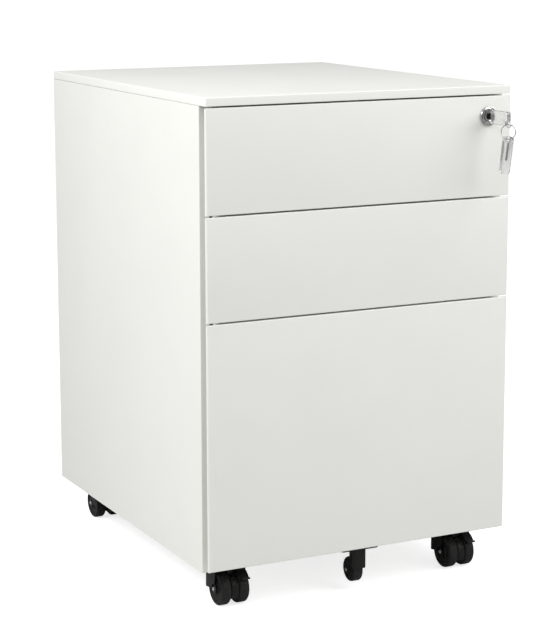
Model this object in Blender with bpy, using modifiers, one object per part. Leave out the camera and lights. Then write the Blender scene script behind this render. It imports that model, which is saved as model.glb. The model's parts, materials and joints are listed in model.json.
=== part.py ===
"""Mobile three-drawer steel filing cabinet on casters, built as separate working parts.

Frame: +Z up, floor at z = 0, drawer fronts face -Y, x = 0 on the cabinet's middle plane.
y = 0 is half-way between the back and the front-most point of the key ring.
"""

import math

import bmesh
import bpy
from mathutils import Matrix, Vector

# ---------------------------------------------------------------- driving dimensions, metres
WIDTH = 0.400
DEPTH = 0.480
HEIGHT = 0.600
SHEET = 0.0008
CLEAR = 0.0003
OVERLAP = 0.0004

CAP_HEIGHT = 0.010
CAP_EDGE = 0.0012
SIDE_BOTTOM = 0.050
BASE_HEIGHT = 0.058

FRONT_DEPTH = 0.018
FRONT_BOTTOM = 0.055
FRONT_GAP = 0.002
BOX_FRONT_HEIGHT = 0.120
FINGER_EDGE = 0.004
FINGER_INSET = 0.015
FRONT_BACK_FLANGE = 0.018

POST_FACE = 0.012
POST_RETURN = 0.012
REAR_FLANGE = 0.012
RAIL_HEIGHT = 0.007

SLIDE_OUTER_HALF = 0.016
SLIDE_SPACE = 0.0095
SLIDE_SHEET = 0.0012
SLIDE_STANDOFF = 0.006
SLIDE_LENGTH = 0.420
SLIDE_FROM_BOTTOM = 0.045
SLIDE_PLAY = 0.0006

TRAY_GAP_SIDE = 0.012
TRAY_FLOOR_LIFT = 0.010
TRAY_DEPTH = 0.425
BOX_TRAY_HEIGHT = 0.073
FILE_TRAY_HEIGHT = 0.250
BOX_HEM = 0.005
FILE_HEM = 0.009
HEM_DROP = 0.004

CATCH_RISE = 0.0660
CATCH_HEIGHT = 0.008
CATCH_REACH = 0.0125
CATCH_BEHIND_POST = 0.0115
CATCH_THICKNESS = 0.002
HOOK_GAP = 0.001
BAR_WIDTH = 0.005
BAR_THICKNESS = 0.002
BAR_BEHIND_FACE = 0.0028
HOOK_REACH = 0.0045
BAR_TRAVEL = 0.009
WINDOW_MARGIN = 0.0015

LOCK_INSET = 0.031
LOCK_DROP = 0.024
ROSE_RADIUS = 0.0120
ROSE_THICKNESS = 0.0025
BARREL_RADIUS = 0.0082
BARREL_LENGTH = 0.0190
PLUG_RADIUS = 0.0062
PLUG_TAIL = 0.0215
PLUG_PROUD = 0.0032
KEYWAY_WIDTH = 0.0022
KEYWAY_HEIGHT = 0.0082
CAM_LENGTH = 0.0175
CAM_WIDTH = 0.008
CAM_THICKNESS = 0.0015

BLADE_THICKNESS = 0.0016
BLADE_HEIGHT = 0.0066
BLADE_INSIDE = 0.014
BLADE_OUTSIDE = 0.0150
BOW_START = 0.0080
BOW_END = 0.0445
BOW_HEIGHT = 0.0172
BOW_THICKNESS = 0.0048
BOW_CORNER = 0.0028
BOW_SLOT_WIDTH = 0.0024
BOW_SLOT_DEPTH = 0.0215
BOW_SLOT_HEIGHT = 0.0084
FOLD_AT = 0.0130
LUG_RADIUS = 0.0036
LUG_THICKNESS = 0.0018
LUG_OFFSET = 0.0065
EYE_RADIUS = 0.0023
RING_RADIUS = 0.0084
RING_WIRE = 0.0006
RING_TURN = math.radians(40)
SPARE_LENGTH = 0.0440
SPARE_BLADE_LENGTH = 0.0205
SPARE_BLADE_START = 0.0160
SPARE_HEIGHT = 0.0136
SPARE_EYE_INSET = 0.0030
SPARE_TILT = math.radians(7)
SPARE_BLADE_WIDTH = 0.0022

WHEEL_RADIUS = 0.020
WHEEL_WIDTH = 0.013
WHEEL_ROUND = 0.0035
WHEEL_PITCH = 0.0232
AXLE_RADIUS = 0.0025
AXLE_PLAY = 0.0002
HOOD_RADIUS = 0.0225
HOOD_WALL = 0.0014
HOOD_CHEEK = 0.0012
WEB_HALF = 0.0046
WEB_RADIUS = 0.0185
WEB_BOTTOM = 0.0100
HOOD_TOP = 0.052
HOOD_SHOULDER = 0.0040
HOOD_SLOPE_START = 0.0090
STEM_OFFSET = 0.016
PIN_RADIUS = 0.0030
PIN_PLAY = 0.0003
PIN_BOTTOM = 0.0240
COLLAR_RADIUS = 0.0110
PLATE_SIDE = 0.040
PLATE_THICKNESS = 0.002
CASTER_X = 0.155
CASTER_FRONT = 0.057
CASTER_REAR = 0.060
LEVER_START = math.radians(104)
LEVER_END = math.radians(148)
LEVER_WALL = 0.0018
LEVER_LIP = 0.0035
LEVER_WIDTH = 0.0115

TIP_WHEEL_RADIUS = 0.015
TIP_WHEEL_WIDTH = 0.0125
TIP_WHEEL_ROUND = 0.003
TIP_CLEARANCE = 0.010
TIP_BEHIND = 0.0205
TIP_PLATE_WIDTH = 0.050
TIP_PLATE_DEPTH = 0.0275
TIP_PLATE_START = 0.0015
TIP_FORK_WALL = 0.0016
TIP_FORK_HALF = 0.0095
TIP_FORK_FRONT = 0.0035
TIP_FORK_DEPTH = 0.0090
TIP_FORK_KNEE = 0.0045
TIP_FORK_NOSE = 0.0045
TIP_AXLE_RADIUS = 0.002

ROUND_STEPS = 24
SMALL_STEPS = 16
RING_STEPS = 36

# ---------------------------------------------------------------- derived places
RING_REACH = (RING_RADIUS + RING_WIRE * 2) * math.sin(RING_TURN)
KEY_REACH = BOW_END - LUG_RADIUS / 3 + RING_REACH
FACE = (KEY_REACH - DEPTH) / 2
BACK = FACE + DEPTH
HALF = WIDTH / 2
INNER = HALF - SHEET
CAP_BOTTOM = HEIGHT - CAP_HEIGHT
POST_FRONT = FACE + FRONT_DEPTH
OPENING_HALF = HALF - POST_FACE
TRAY_HALF = OPENING_HALF - TRAY_GAP_SIDE - CLEAR
TRAY_FRONT = POST_FRONT + CLEAR
SLIDE_FRONT = POST_FRONT + POST_RETURN + 2 * CLEAR
WEB_X = OPENING_HALF
LOCK_X = HALF - LOCK_INSET
TOP_FRONT_TOP = CAP_BOTTOM - FRONT_GAP
LOCK_Z = TOP_FRONT_TOP - LOCK_DROP
WHEEL_HALF = WHEEL_WIDTH / 2
HOOD_HALF = WHEEL_PITCH / 2 + WHEEL_HALF + 2 * CLEAR + HOOD_CHEEK
POCKET_INNER = WEB_HALF
POCKET_OUTER = HOOD_HALF - HOOD_CHEEK
POCKET_RADIUS = HOOD_RADIUS - HOOD_WALL
BAR_X = OPENING_HALF + SHEET + 2 * CLEAR
BAR_FRONT = POST_FRONT + BAR_BEHIND_FACE

# (name, bottom of the front, top of the front, tray height, hem)
DRAWER_TOP_BOTTOM = TOP_FRONT_TOP - BOX_FRONT_HEIGHT
DRAWER_MIDDLE_TOP = DRAWER_TOP_BOTTOM - FRONT_GAP
DRAWER_MIDDLE_BOTTOM = DRAWER_MIDDLE_TOP - BOX_FRONT_HEIGHT
DRAWER_FILE_TOP = DRAWER_MIDDLE_BOTTOM - FRONT_GAP
DRAWERS = (
    ("top", DRAWER_TOP_BOTTOM, TOP_FRONT_TOP, BOX_TRAY_HEIGHT, BOX_HEM),
    ("middle", DRAWER_MIDDLE_BOTTOM, DRAWER_MIDDLE_TOP, BOX_TRAY_HEIGHT, BOX_HEM),
    ("file", FRONT_BOTTOM, DRAWER_FILE_TOP, FILE_TRAY_HEIGHT, FILE_HEM),
)
SIDES = (("left", -1), ("right", 1))
CASTERS = (
    ("front_left", -CASTER_X, FACE + CASTER_FRONT, -1, True),
    ("front_right", CASTER_X, FACE + CASTER_FRONT, -1, True),
    ("rear_left", -CASTER_X, BACK - CASTER_REAR, 1, False),
    ("rear_right", CASTER_X, BACK - CASTER_REAR, 1, False),
)


# ---------------------------------------------------------------- scene, collections, materials
def clear_scene():
    for old in list(bpy.data.objects):
        bpy.data.objects.remove(old)


def new_collection(name):
    group = bpy.data.collections.new(name)
    bpy.context.scene.collection.children.link(group)
    return group


def new_material(name, colour, roughness, metallic, transmission=0.0):
    material = bpy.data.materials.new(name)
    material.use_nodes = True
    shader = material.node_tree.nodes["Principled BSDF"]
    shader.inputs["Base Color"].default_value = (*colour, 1.0)
    shader.inputs["Roughness"].default_value = roughness
    shader.inputs["Metallic"].default_value = metallic
    shader.inputs["Transmission Weight"].default_value = transmission
    return material


clear_scene()
CABINET = new_collection("filing_cabinet")
CUTTERS = new_collection("cutters")
FINISHES = {
    "paint": ((0.86, 0.865, 0.85), 0.42, 0.0),
    "zinc": ((0.62, 0.63, 0.64), 0.35, 1.0),
    "chrome": ((0.86, 0.87, 0.88), 0.08, 1.0),
    "dark_steel": ((0.16, 0.16, 0.17), 0.38, 1.0),
    "clear_plastic": ((0.93, 0.94, 0.94), 0.08, 0.0, 0.85),
    "black_plastic": ((0.012, 0.012, 0.012), 0.38, 0.0),
    "tread": ((0.020, 0.020, 0.020), 0.55, 0.0),
}


# ---------------------------------------------------------------- making solids
def link(name, mesh, collection):
    obj = bpy.data.objects.new(name, mesh)
    collection.objects.link(obj)
    return obj


def brick(name, low, high, collection=None):
    """A box from its lowest and highest corners."""
    work = bmesh.new()
    bmesh.ops.create_cube(work, size=1.0)
    low, high = Vector(low), Vector(high)
    spread = high - low
    bmesh.ops.scale(work, vec=spread, verts=work.verts)
    bmesh.ops.translate(work, vec=(low + high) / 2, verts=work.verts)
    mesh = bpy.data.meshes.new(name)
    work.to_mesh(mesh)
    work.free()
    return link(name, mesh, collection or CABINET)


def rod(name, start, end, radius, steps=SMALL_STEPS, collection=None):
    """A cylinder between two points; a flat corner of it points down when it lies level."""
    start, end = Vector(start), Vector(end)
    run = end - start
    work = bmesh.new()
    bmesh.ops.create_cone(
        work, cap_ends=True, segments=steps, radius1=radius, radius2=radius, depth=run.length
    )
    turn = run.to_track_quat("Z", "Y").to_matrix().to_4x4()
    bmesh.ops.transform(work, matrix=Matrix.Translation((start + end) / 2) @ turn, verts=work.verts)
    mesh = bpy.data.meshes.new(name)
    work.to_mesh(mesh)
    work.free()
    obj = link(name, mesh, collection or CABINET)
    obj.data.shade_smooth()
    obj.data.set_sharp_from_angle(angle=math.radians(35))
    return obj


# each plane maps the outline's two axes and the extrusion axis onto the world
PLANES = {
    "XY": Matrix(((1, 0, 0, 0), (0, 1, 0, 0), (0, 0, 1, 0), (0, 0, 0, 1))),
    "YZ": Matrix(((0, 0, 1, 0), (1, 0, 0, 0), (0, 1, 0, 0), (0, 0, 0, 1))),
    "XZ": Matrix(((1, 0, 0, 0), (0, 0, -1, 0), (0, 1, 0, 0), (0, 0, 0, 1))),
}
AXIS_SIGN = {"XY": 1, "YZ": 1, "XZ": -1}


def extrusion(name, outline, plane, low, high, collection=None):
    """A flat outline in a plane, given depth along the third axis from low to high."""
    curve = bpy.data.curves.new(name, "CURVE")
    curve.dimensions = "2D"
    curve.fill_mode = "BOTH"
    curve.extrude = (high - low) / 2
    spline = curve.splines.new("POLY")
    spline.points.add(len(outline) - 1)
    for point, (u, v) in zip(spline.points, outline):
        point.co = (u, v, 0, 1)
    spline.use_cyclic_u = True
    flat = link(name + "_outline", curve, CUTTERS)
    graph = bpy.context.evaluated_depsgraph_get()
    mesh = bpy.data.meshes.new_from_object(flat.evaluated_get(graph))
    bpy.data.objects.remove(flat)
    work = bmesh.new()
    work.from_mesh(mesh)
    bmesh.ops.remove_doubles(work, verts=work.verts, dist=0.00001)
    middle = Matrix.Translation((0, 0, AXIS_SIGN[plane] * (low + high) / 2))
    bmesh.ops.transform(work, matrix=PLANES[plane] @ middle, verts=work.verts)
    bmesh.ops.recalc_face_normals(work, faces=work.faces)
    work.to_mesh(mesh)
    work.free()
    mesh.name = name
    return link(name, mesh, collection or CABINET)


def folded(points, thickness):
    """The closed outline of a sheet folded along a line, with the sheet on the line's left."""
    count = len(points)
    line = [Vector(p) for p in points]
    inner = []
    for i, here in enumerate(line):
        before = (here - line[i - 1]).normalized() if i > 0 else None
        after = (line[i + 1] - here).normalized() if i < count - 1 else None
        before = before or after
        after = after or before
        normal_a = Vector((-before.y, before.x))
        normal_b = Vector((-after.y, after.x))
        bisector = (normal_a + normal_b).normalized()
        inner.append(here + bisector * (thickness / bisector.dot(normal_a)))
    return [tuple(p) for p in line] + [tuple(p) for p in reversed(inner)]


def mirrored(outline):
    return [(-u, v) for u, v in outline]


def arc(centre, radius, start, end, count):
    """Points of an arc, both ends included."""
    step = (end - start) / (count - 1)
    angles = [start + step * i for i in range(count)]
    return [(centre[0] + radius * math.cos(a), centre[1] + radius * math.sin(a)) for a in angles]


def turned(name, profile, axis, place, steps=ROUND_STEPS, collection=None):
    """A closed profile of (radius, height) points, turned about an axis laid along X, Y or Z."""
    mesh = bpy.data.meshes.new(name)
    points = [(radius, 0, height) for radius, height in profile]
    edges = [(i, (i + 1) % len(points)) for i in range(len(points))]
    mesh.from_pydata(points, edges, [])
    obj = link(name, mesh, collection or CABINET)
    screw = obj.modifiers.new("turn", "SCREW")
    screw.axis = "Z"
    screw.angle = math.tau
    screw.steps = steps
    screw.render_steps = steps
    screw.use_merge_vertices = True
    screw.merge_threshold = 0.00001
    screw.use_smooth_shade = False
    obj.rotation_euler = {
        "X": (0, math.pi / 2, 0),
        "Y": (math.pi / 2, 0, 0),
        "Z": (0, 0, 0),
    }[axis]
    obj.location = place
    return obj


def combine(obj, other, operation):
    """Cuts, joins or trims with another solid, which becomes a hidden helper."""
    for group in list(other.users_collection):
        group.objects.unlink(other)
    CUTTERS.objects.link(other)
    other.hide_render = True
    other.display_type = "WIRE"
    change = obj.modifiers.new(other.name, "BOOLEAN")
    change.operation = operation
    change.solver = "EXACT"
    change.object = other
    return obj


def cut(obj, other):
    return combine(obj, other, "DIFFERENCE")


def join(obj, other):
    return combine(obj, other, "UNION")


def set_origin(obj, point):
    """Moves an unturned object's origin, leaving its shape where it is."""
    shift = Vector(point) - obj.location
    obj.data.transform(Matrix.Translation(-shift))
    obj.location = Vector(point)


def finish(obj, finish_name):
    obj.data.materials.clear()
    if finish_name not in bpy.data.materials:
        new_material(finish_name, *FINISHES[finish_name])
    own = bpy.data.materials[finish_name].copy()
    own.name = f"{finish_name}_{obj.name}"
    obj.data.materials.append(own)
    return obj


def pivot(name, place, parent=None):
    """An empty on a joint's axis. Pieces that move with the joint are parented to it."""
    empty = bpy.data.objects.new(name, None)
    CABINET.objects.link(empty)
    empty.empty_display_size = 0.02
    base = world_place(parent)
    empty.parent = parent
    empty.location = Vector(place) - base
    return empty


def world_place(empty):
    place = Vector((0, 0, 0))
    while empty is not None:
        place += empty.location
        empty = empty.parent
    return place


def adopt(parent, *pieces):
    base = world_place(parent)
    for piece in pieces:
        piece.parent = parent
        piece.location = piece.location - base


# ---------------------------------------------------------------- cabinet body
def side_panel(side, sign):
    """Outer skin with a front post (face and return) and a rear flange, folded from one sheet."""
    line = [
        (sign * OPENING_HALF, POST_FRONT + POST_RETURN),
        (sign * OPENING_HALF, POST_FRONT),
        (sign * HALF, POST_FRONT),
        (sign * HALF, BACK),
        (sign * (HALF - REAR_FLANGE), BACK),
    ]
    if sign < 0:
        line.reverse()
    panel = extrusion(
        f"{side}_side_panel", folded(line, SHEET), "XY", SIDE_BOTTOM, CAP_BOTTOM - CLEAR
    )
    if sign > 0:
        cut_bar_windows(panel)
    return finish(panel, "paint")


def hook_bottom(front_bottom):
    """Where a hook's lower edge is with the cabinet unlocked: just above the drawer's catch."""
    return front_bottom + CATCH_RISE + CATCH_HEIGHT + HOOK_GAP


def cam_lug_top():
    return LOCK_Z - CAM_WIDTH / 2 - CLEAR + BAR_TRAVEL


def cut_bar_windows(panel):
    """Windows in the right-hand post's return for the lock bar's hooks and its cam lug."""
    spans = [(hook_bottom(low), hook_bottom(low) + CATCH_HEIGHT) for _, low, _, _, _ in DRAWERS]
    spans.append((cam_lug_top() - CATCH_HEIGHT, cam_lug_top()))
    for i, (low, high) in enumerate(spans):
        window = brick(
            f"window_{i}",
            (
                OPENING_HALF - SHEET,
                BAR_FRONT - WINDOW_MARGIN,
                low - BAR_TRAVEL - WINDOW_MARGIN,
            ),
            (
                OPENING_HALF + 2 * SHEET,
                BAR_FRONT + BAR_WIDTH + WINDOW_MARGIN,
                high + WINDOW_MARGIN,
            ),
        )
        cut(panel, window)


def back_panel():
    inside = BACK - SHEET - CLEAR
    panel = brick(
        "back_panel",
        (-INNER + CLEAR, inside - SHEET, SIDE_BOTTOM + SHEET),
        (INNER - CLEAR, inside, CAP_BOTTOM - 2 * CLEAR),
    )
    return finish(panel, "paint")


def open_pan(name, low, high, open_up, edge):
    """A shallow pan: a box without its top or bottom face, given its wall by Solidify."""
    work = bmesh.new()
    bmesh.ops.create_cube(work, size=1.0)
    low, high = Vector(low), Vector(high)
    bmesh.ops.scale(work, vec=high - low, verts=work.verts)
    bmesh.ops.translate(work, vec=(low + high) / 2, verts=work.verts)
    pick = max if open_up else min
    lid = pick(work.faces, key=lambda face: face.calc_center_median().z)
    bmesh.ops.delete(work, geom=[lid], context="FACES_ONLY")
    mesh = bpy.data.meshes.new(name)
    work.to_mesh(mesh)
    work.free()
    obj = link(name, mesh, CABINET)
    if edge:
        bevel = obj.modifiers.new("edges", "BEVEL")
        bevel.width = edge
        bevel.segments = 2
    wall = obj.modifiers.new("sheet", "SOLIDIFY")
    wall.thickness = SHEET
    wall.offset = -1
    wall.use_even_offset = True
    return obj


def base_pan():
    pan = open_pan(
        "base_pan",
        (-INNER + CLEAR, SLIDE_FRONT, SIDE_BOTTOM + CLEAR),
        (INNER - CLEAR, BACK - 2 * SHEET - 2 * CLEAR, BASE_HEIGHT + SHEET),
        False,
        0,
    )
    return finish(pan, "paint")


def top_panel():
    """The cap that lies on the sides and reaches forward over the drawer fronts."""
    cap = open_pan(
        "top_panel", (-HALF, FACE, CAP_BOTTOM), (HALF, BACK, HEIGHT), False, CAP_EDGE
    )
    return finish(cap, "paint")


def front_rail():
    """An angle across the top of the opening, under the cap."""
    top = CAP_BOTTOM - 2 * CLEAR
    line = [
        (POST_FRONT + POST_RETURN, top),
        (POST_FRONT, top),
        (POST_FRONT, top - RAIL_HEIGHT),
    ]
    span = OPENING_HALF - CLEAR
    return finish(extrusion("front_rail", folded(line, SHEET), "YZ", -span, span), "paint")


def lock_bar():
    """A flat bar in the right-hand post with one hook a drawer and a lug that the cam presses down."""
    lowest = hook_bottom(FRONT_BOTTOM) - 2 * BAR_TRAVEL
    highest = cam_lug_top() + CAM_WIDTH
    bar = brick(
        "lock_bar",
        (BAR_X, BAR_FRONT, lowest),
        (BAR_X + BAR_THICKNESS, BAR_FRONT + BAR_WIDTH, highest),
    )
    steps = [(hook_bottom(low), hook_bottom(low) + CATCH_HEIGHT) for _, low, _, _, _ in DRAWERS]
    steps.append((cam_lug_top() - CATCH_HEIGHT, cam_lug_top()))
    for i, (low, high) in enumerate(steps):
        hook = brick(
            f"hook_{i}",
            (OPENING_HALF - HOOK_REACH, BAR_FRONT + CLEAR, low),
            (BAR_X + BAR_THICKNESS / 2, BAR_FRONT + BAR_WIDTH - CLEAR, high),
        )
        join(bar, hook)
    finish(bar, "zinc")
    set_origin(bar, (BAR_X, BAR_FRONT, LOCK_Z))
    adopt(pivot("lock_bar_slide", (BAR_X, BAR_FRONT, LOCK_Z)), bar)
    return bar


# ---------------------------------------------------------------- slides
def slide_centre(front_bottom):
    return front_bottom + SLIDE_FROM_BOTTOM


def slide_outer(drawer, side, sign, centre):
    """A channel on the cabinet's side, its web stood off the skin by a pressed rib."""
    mouth = WEB_X - SLIDE_SPACE
    web = WEB_X + SLIDE_SHEET
    skin = INNER - CLEAR
    half = SLIDE_OUTER_HALF
    line = [
        (mouth, centre - half),
        (web, centre - half),
        (web, centre - SLIDE_STANDOFF),
        (skin, centre - SLIDE_STANDOFF),
        (skin, centre + SLIDE_STANDOFF),
        (web, centre + SLIDE_STANDOFF),
        (web, centre + half),
        (mouth, centre + half),
    ]
    outline = folded(line, SLIDE_SHEET)
    if sign < 0:
        outline = mirrored(outline)
    return finish(
        extrusion(
            f"{drawer}_slide_outer_{side}",
            outline,
            "XZ",
            SLIDE_FRONT,
            SLIDE_FRONT + SLIDE_LENGTH,
        ),
        "zinc",
    )


def slide_member(name, sign, mouth, web, half, centre, start):
    """A C-shaped member; its web stands at one side and its two arms reach to the mouth."""
    line = [
        (mouth, centre - half),
        (web, centre - half),
        (web, centre + half),
        (mouth, centre + half),
    ]
    if web < mouth:
        line.reverse()
    outline = folded(line, SLIDE_SHEET)
    if sign < 0:
        outline = mirrored(outline)
    return finish(extrusion(name, outline, "XZ", start, start + SLIDE_LENGTH), "zinc")


def slides(drawer, side, sign, front_bottom, full_extension):
    """Cabinet, middle (full extension only) and drawer members, nested inside each other."""
    centre = slide_centre(front_bottom)
    half = SLIDE_OUTER_HALF - SLIDE_SHEET - SLIDE_PLAY
    mouth = WEB_X - SLIDE_PLAY
    made = [slide_outer(drawer, side, sign, centre)]
    if full_extension:
        name = f"{drawer}_slide_middle_{side}"
        near = WEB_X - SLIDE_SPACE + CLEAR
        made.append(slide_member(name, sign, near, mouth, half, centre, SLIDE_FRONT))
        half = half - SLIDE_SHEET - SLIDE_PLAY
        mouth = mouth - SLIDE_SHEET - SLIDE_PLAY
    name = f"{drawer}_slide_inner_{side}"
    start = TRAY_FRONT + CLEAR
    made.append(slide_member(name, sign, mouth, TRAY_HALF + CLEAR, half, centre, start))
    return made


# ---------------------------------------------------------------- drawers
def front_outline():
    """Plan of a drawer front: face, rolled finger edges, returns set in for the fingers, back flanges."""
    roll = FINGER_EDGE / 2
    flange_y = FACE + FRONT_DEPTH - CLEAR
    wall = OPENING_HALF - FINGER_INSET / 4
    edge = arc((HALF - roll, FACE + roll), roll, math.pi / 2, -math.pi / 2, 7)
    right = [
        (wall - FRONT_BACK_FLANGE, flange_y),
        (wall, flange_y),
        (wall, FACE + FINGER_EDGE),
    ] + edge
    left = [(-x, y) for x, y in reversed(right)]
    return folded(right + left, -SHEET)


def drawer_front(drawer, low, high):
    front = extrusion(f"{drawer}_drawer_front", front_outline(), "XY", low, high)
    wall = OPENING_HALF - FINGER_INSET / 4 - SHEET / 2
    for edge, base in (("lower", low + CLEAR), ("upper", high - SHEET - CLEAR)):
        plate = brick(
            f"{drawer}_front_{edge}_return",
            (-wall, FACE + SHEET / 2, base),
            (wall, FACE + FRONT_DEPTH - CLEAR - SHEET / 2, base + SHEET),
        )
        join(front, plate)
    return front


def tray(drawer, low, height, hem):
    """A folded steel tray: floor, hemmed sides, front and back walls, and a catch for the lock bar."""
    bottom = low + TRAY_FLOOR_LIFT
    top = bottom + height
    line = [
        (-TRAY_HALF + hem, top - HEM_DROP),
        (-TRAY_HALF + hem, top),
        (-TRAY_HALF, top),
        (-TRAY_HALF, bottom),
        (TRAY_HALF, bottom),
        (TRAY_HALF, top),
        (TRAY_HALF - hem, top),
        (TRAY_HALF - hem, top - HEM_DROP),
    ]
    back = TRAY_FRONT + TRAY_DEPTH
    body = extrusion(f"{drawer}_drawer_tray", folded(line, SHEET), "XZ", TRAY_FRONT, back)
    inside = TRAY_HALF - SHEET / 2
    for end, base in (("front", TRAY_FRONT + CLEAR), ("back", back - SHEET - CLEAR)):
        wall = brick(
            f"{drawer}_tray_{end}",
            (-inside, base, bottom + SHEET / 2),
            (inside, base + SHEET, top - SHEET / 2),
        )
        join(body, wall)
    catch_y = POST_FRONT + CATCH_BEHIND_POST
    catch = brick(
        f"{drawer}_catch",
        (inside, catch_y, low + CATCH_RISE),
        (TRAY_HALF + CATCH_REACH - SHEET, catch_y + CATCH_THICKNESS, low + CATCH_RISE + CATCH_HEIGHT),
    )
    join(body, catch)
    return finish(body, "paint")


def drawers():
    """Three drawers, each on its own slide pivot. Returns their empties by name."""
    made = {}
    for drawer, low, high, height, hem in DRAWERS:
        carrier = pivot(f"{drawer}_drawer_slide", (0, POST_FRONT, slide_centre(low)))
        front = drawer_front(drawer, low, high)
        if drawer == "top":
            cut(
                front,
                rod(
                    "lock_hole",
                    (LOCK_X, FACE - FRONT_DEPTH, LOCK_Z),
                    (LOCK_X, FACE + 2 * FRONT_DEPTH, LOCK_Z),
                    BARREL_RADIUS + CLEAR,
                    ROUND_STEPS,
                ),
            )
        finish(front, "paint")
        adopt(carrier, front, tray(drawer, low, height, hem))
        full = drawer == "file"
        for side, sign in SIDES:
            members = slides(drawer, side, sign, low, full)
            adopt(carrier, members[-1])
            if full:
                place = (sign * WEB_X, POST_FRONT, slide_centre(low))
                adopt(pivot(f"file_middle_slide_{side}", place), members[1])
        made[drawer] = carrier
    return made


def anti_tip_wheel(carrier):
    """A small fixed wheel under the file drawer's front, just above the floor."""
    axle_y = FACE + TIP_BEHIND
    axle_z = TIP_CLEARANCE + TIP_WHEEL_RADIUS
    plate_top = FRONT_BOTTOM - CLEAR
    plate_bottom = plate_top - TIP_FORK_WALL
    bracket = brick(
        "tip_wheel_bracket",
        (-TIP_PLATE_WIDTH / 2, FACE + TIP_PLATE_START, plate_bottom),
        (TIP_PLATE_WIDTH / 2, FACE + TIP_PLATE_START + TIP_PLATE_DEPTH, plate_top),
    )
    front = FACE + TIP_FORK_FRONT
    back = front + TIP_FORK_DEPTH
    knee = axle_z + TIP_FORK_KNEE
    cheek = [
        (front, plate_top - TIP_FORK_WALL / 2),
        (front, knee),
        (axle_y - TIP_FORK_NOSE, axle_z - TIP_FORK_NOSE / 2),
        (axle_y - TIP_FORK_NOSE / 2, axle_z - TIP_FORK_NOSE),
        (axle_y + TIP_FORK_NOSE / 2, axle_z - TIP_FORK_NOSE),
        (axle_y + TIP_FORK_NOSE, axle_z - TIP_FORK_NOSE / 2),
        (axle_y + TIP_FORK_NOSE, axle_z + TIP_FORK_NOSE / 2),
        (back, knee + TIP_FORK_NOSE),
        (back, plate_top - TIP_FORK_WALL / 2),
    ]
    block = extrusion("tip_fork_block", cheek, "YZ", -TIP_FORK_HALF, TIP_FORK_HALF)
    inner = TIP_FORK_HALF - TIP_FORK_WALL
    throat = brick(
        "tip_fork_throat",
        (-inner, front + TIP_FORK_WALL, 0),
        (inner, axle_y + TIP_WHEEL_RADIUS, plate_bottom - TIP_FORK_WALL),
    )
    wheel_room = rod(
        "tip_wheel_room",
        (-inner, axle_y, axle_z),
        (inner, axle_y, axle_z),
        TIP_WHEEL_RADIUS + 2 * CLEAR,
        ROUND_STEPS,
    )
    join(bracket, block)
    cut(bracket, throat)
    cut(bracket, wheel_room)
    cut(
        bracket,
        rod(
            "tip_axle_hole",
            (-HALF, axle_y, axle_z),
            (HALF, axle_y, axle_z),
            TIP_AXLE_RADIUS + CLEAR,
        ),
    )
    finish(bracket, "black_plastic")
    end = TIP_FORK_HALF + TIP_FORK_WALL / 2
    axle = rod("tip_wheel_axle", (-end, axle_y, axle_z), (end, axle_y, axle_z), TIP_AXLE_RADIUS)
    finish(axle, "chrome")
    half = TIP_WHEEL_WIDTH / 2
    bore = TIP_AXLE_RADIUS + CLEAR
    profile = wheel_profile(TIP_WHEEL_RADIUS, half, TIP_WHEEL_ROUND, bore)
    wheel = turned("tip_wheel", profile, "X", (0, axle_y, axle_z))
    finish(wheel, "tread")
    adopt(carrier, bracket, axle)
    adopt(pivot("tip_wheel_spin", (0, axle_y, axle_z), carrier), wheel)


# ---------------------------------------------------------------- lock and keys
def lock(carrier):
    """Housing with its rose, plug with a keyway, and cam; local +Z of the turned pieces points outwards."""
    front = (LOCK_X, FACE, LOCK_Z)
    bore = PLUG_RADIUS + 2 * CLEAR
    housing_profile = [
        (bore, ROSE_THICKNESS),
        (ROSE_RADIUS - 2 * OVERLAP, ROSE_THICKNESS),
        (ROSE_RADIUS, ROSE_THICKNESS - 2 * OVERLAP),
        (ROSE_RADIUS, CLEAR),
        (BARREL_RADIUS, CLEAR),
        (BARREL_RADIUS, -BARREL_LENGTH),
        (bore, -BARREL_LENGTH),
    ]
    housing = turned("lock_housing", housing_profile, "Y", front, ROUND_STEPS)
    finish(housing, "chrome")
    plug = rod(
        "lock_plug",
        (LOCK_X, FACE + PLUG_TAIL, LOCK_Z),
        (LOCK_X, FACE - PLUG_PROUD, LOCK_Z),
        PLUG_RADIUS,
        ROUND_STEPS,
    )
    keyway = brick(
        "keyway",
        (LOCK_X - KEYWAY_WIDTH / 2, FACE - 2 * PLUG_PROUD, LOCK_Z - KEYWAY_HEIGHT / 2),
        (LOCK_X + KEYWAY_WIDTH / 2, FACE + BLADE_INSIDE + CLEAR, LOCK_Z + KEYWAY_HEIGHT / 2),
    )
    cut(plug, keyway)
    finish(plug, "chrome")
    cam_front = FACE + PLUG_TAIL + CLEAR
    tip = CAM_WIDTH / 2
    cam_outline = arc((LOCK_X, LOCK_Z), tip, math.pi, math.tau, 9) + [
        (LOCK_X + tip, LOCK_Z + CAM_LENGTH - tip / 2),
        (LOCK_X + tip / 2, LOCK_Z + CAM_LENGTH),
        (LOCK_X - tip / 2, LOCK_Z + CAM_LENGTH),
        (LOCK_X - tip, LOCK_Z + CAM_LENGTH - tip / 2),
    ]
    cam = extrusion("lock_cam", cam_outline, "XZ", cam_front, cam_front + CAM_THICKNESS)
    finish(cam, "zinc")
    adopt(carrier, housing)
    turn = pivot("lock_turn", front, carrier)
    for piece in (plug, cam):
        set_origin(piece, front)
    adopt(turn, plug, cam)
    return turn


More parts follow.
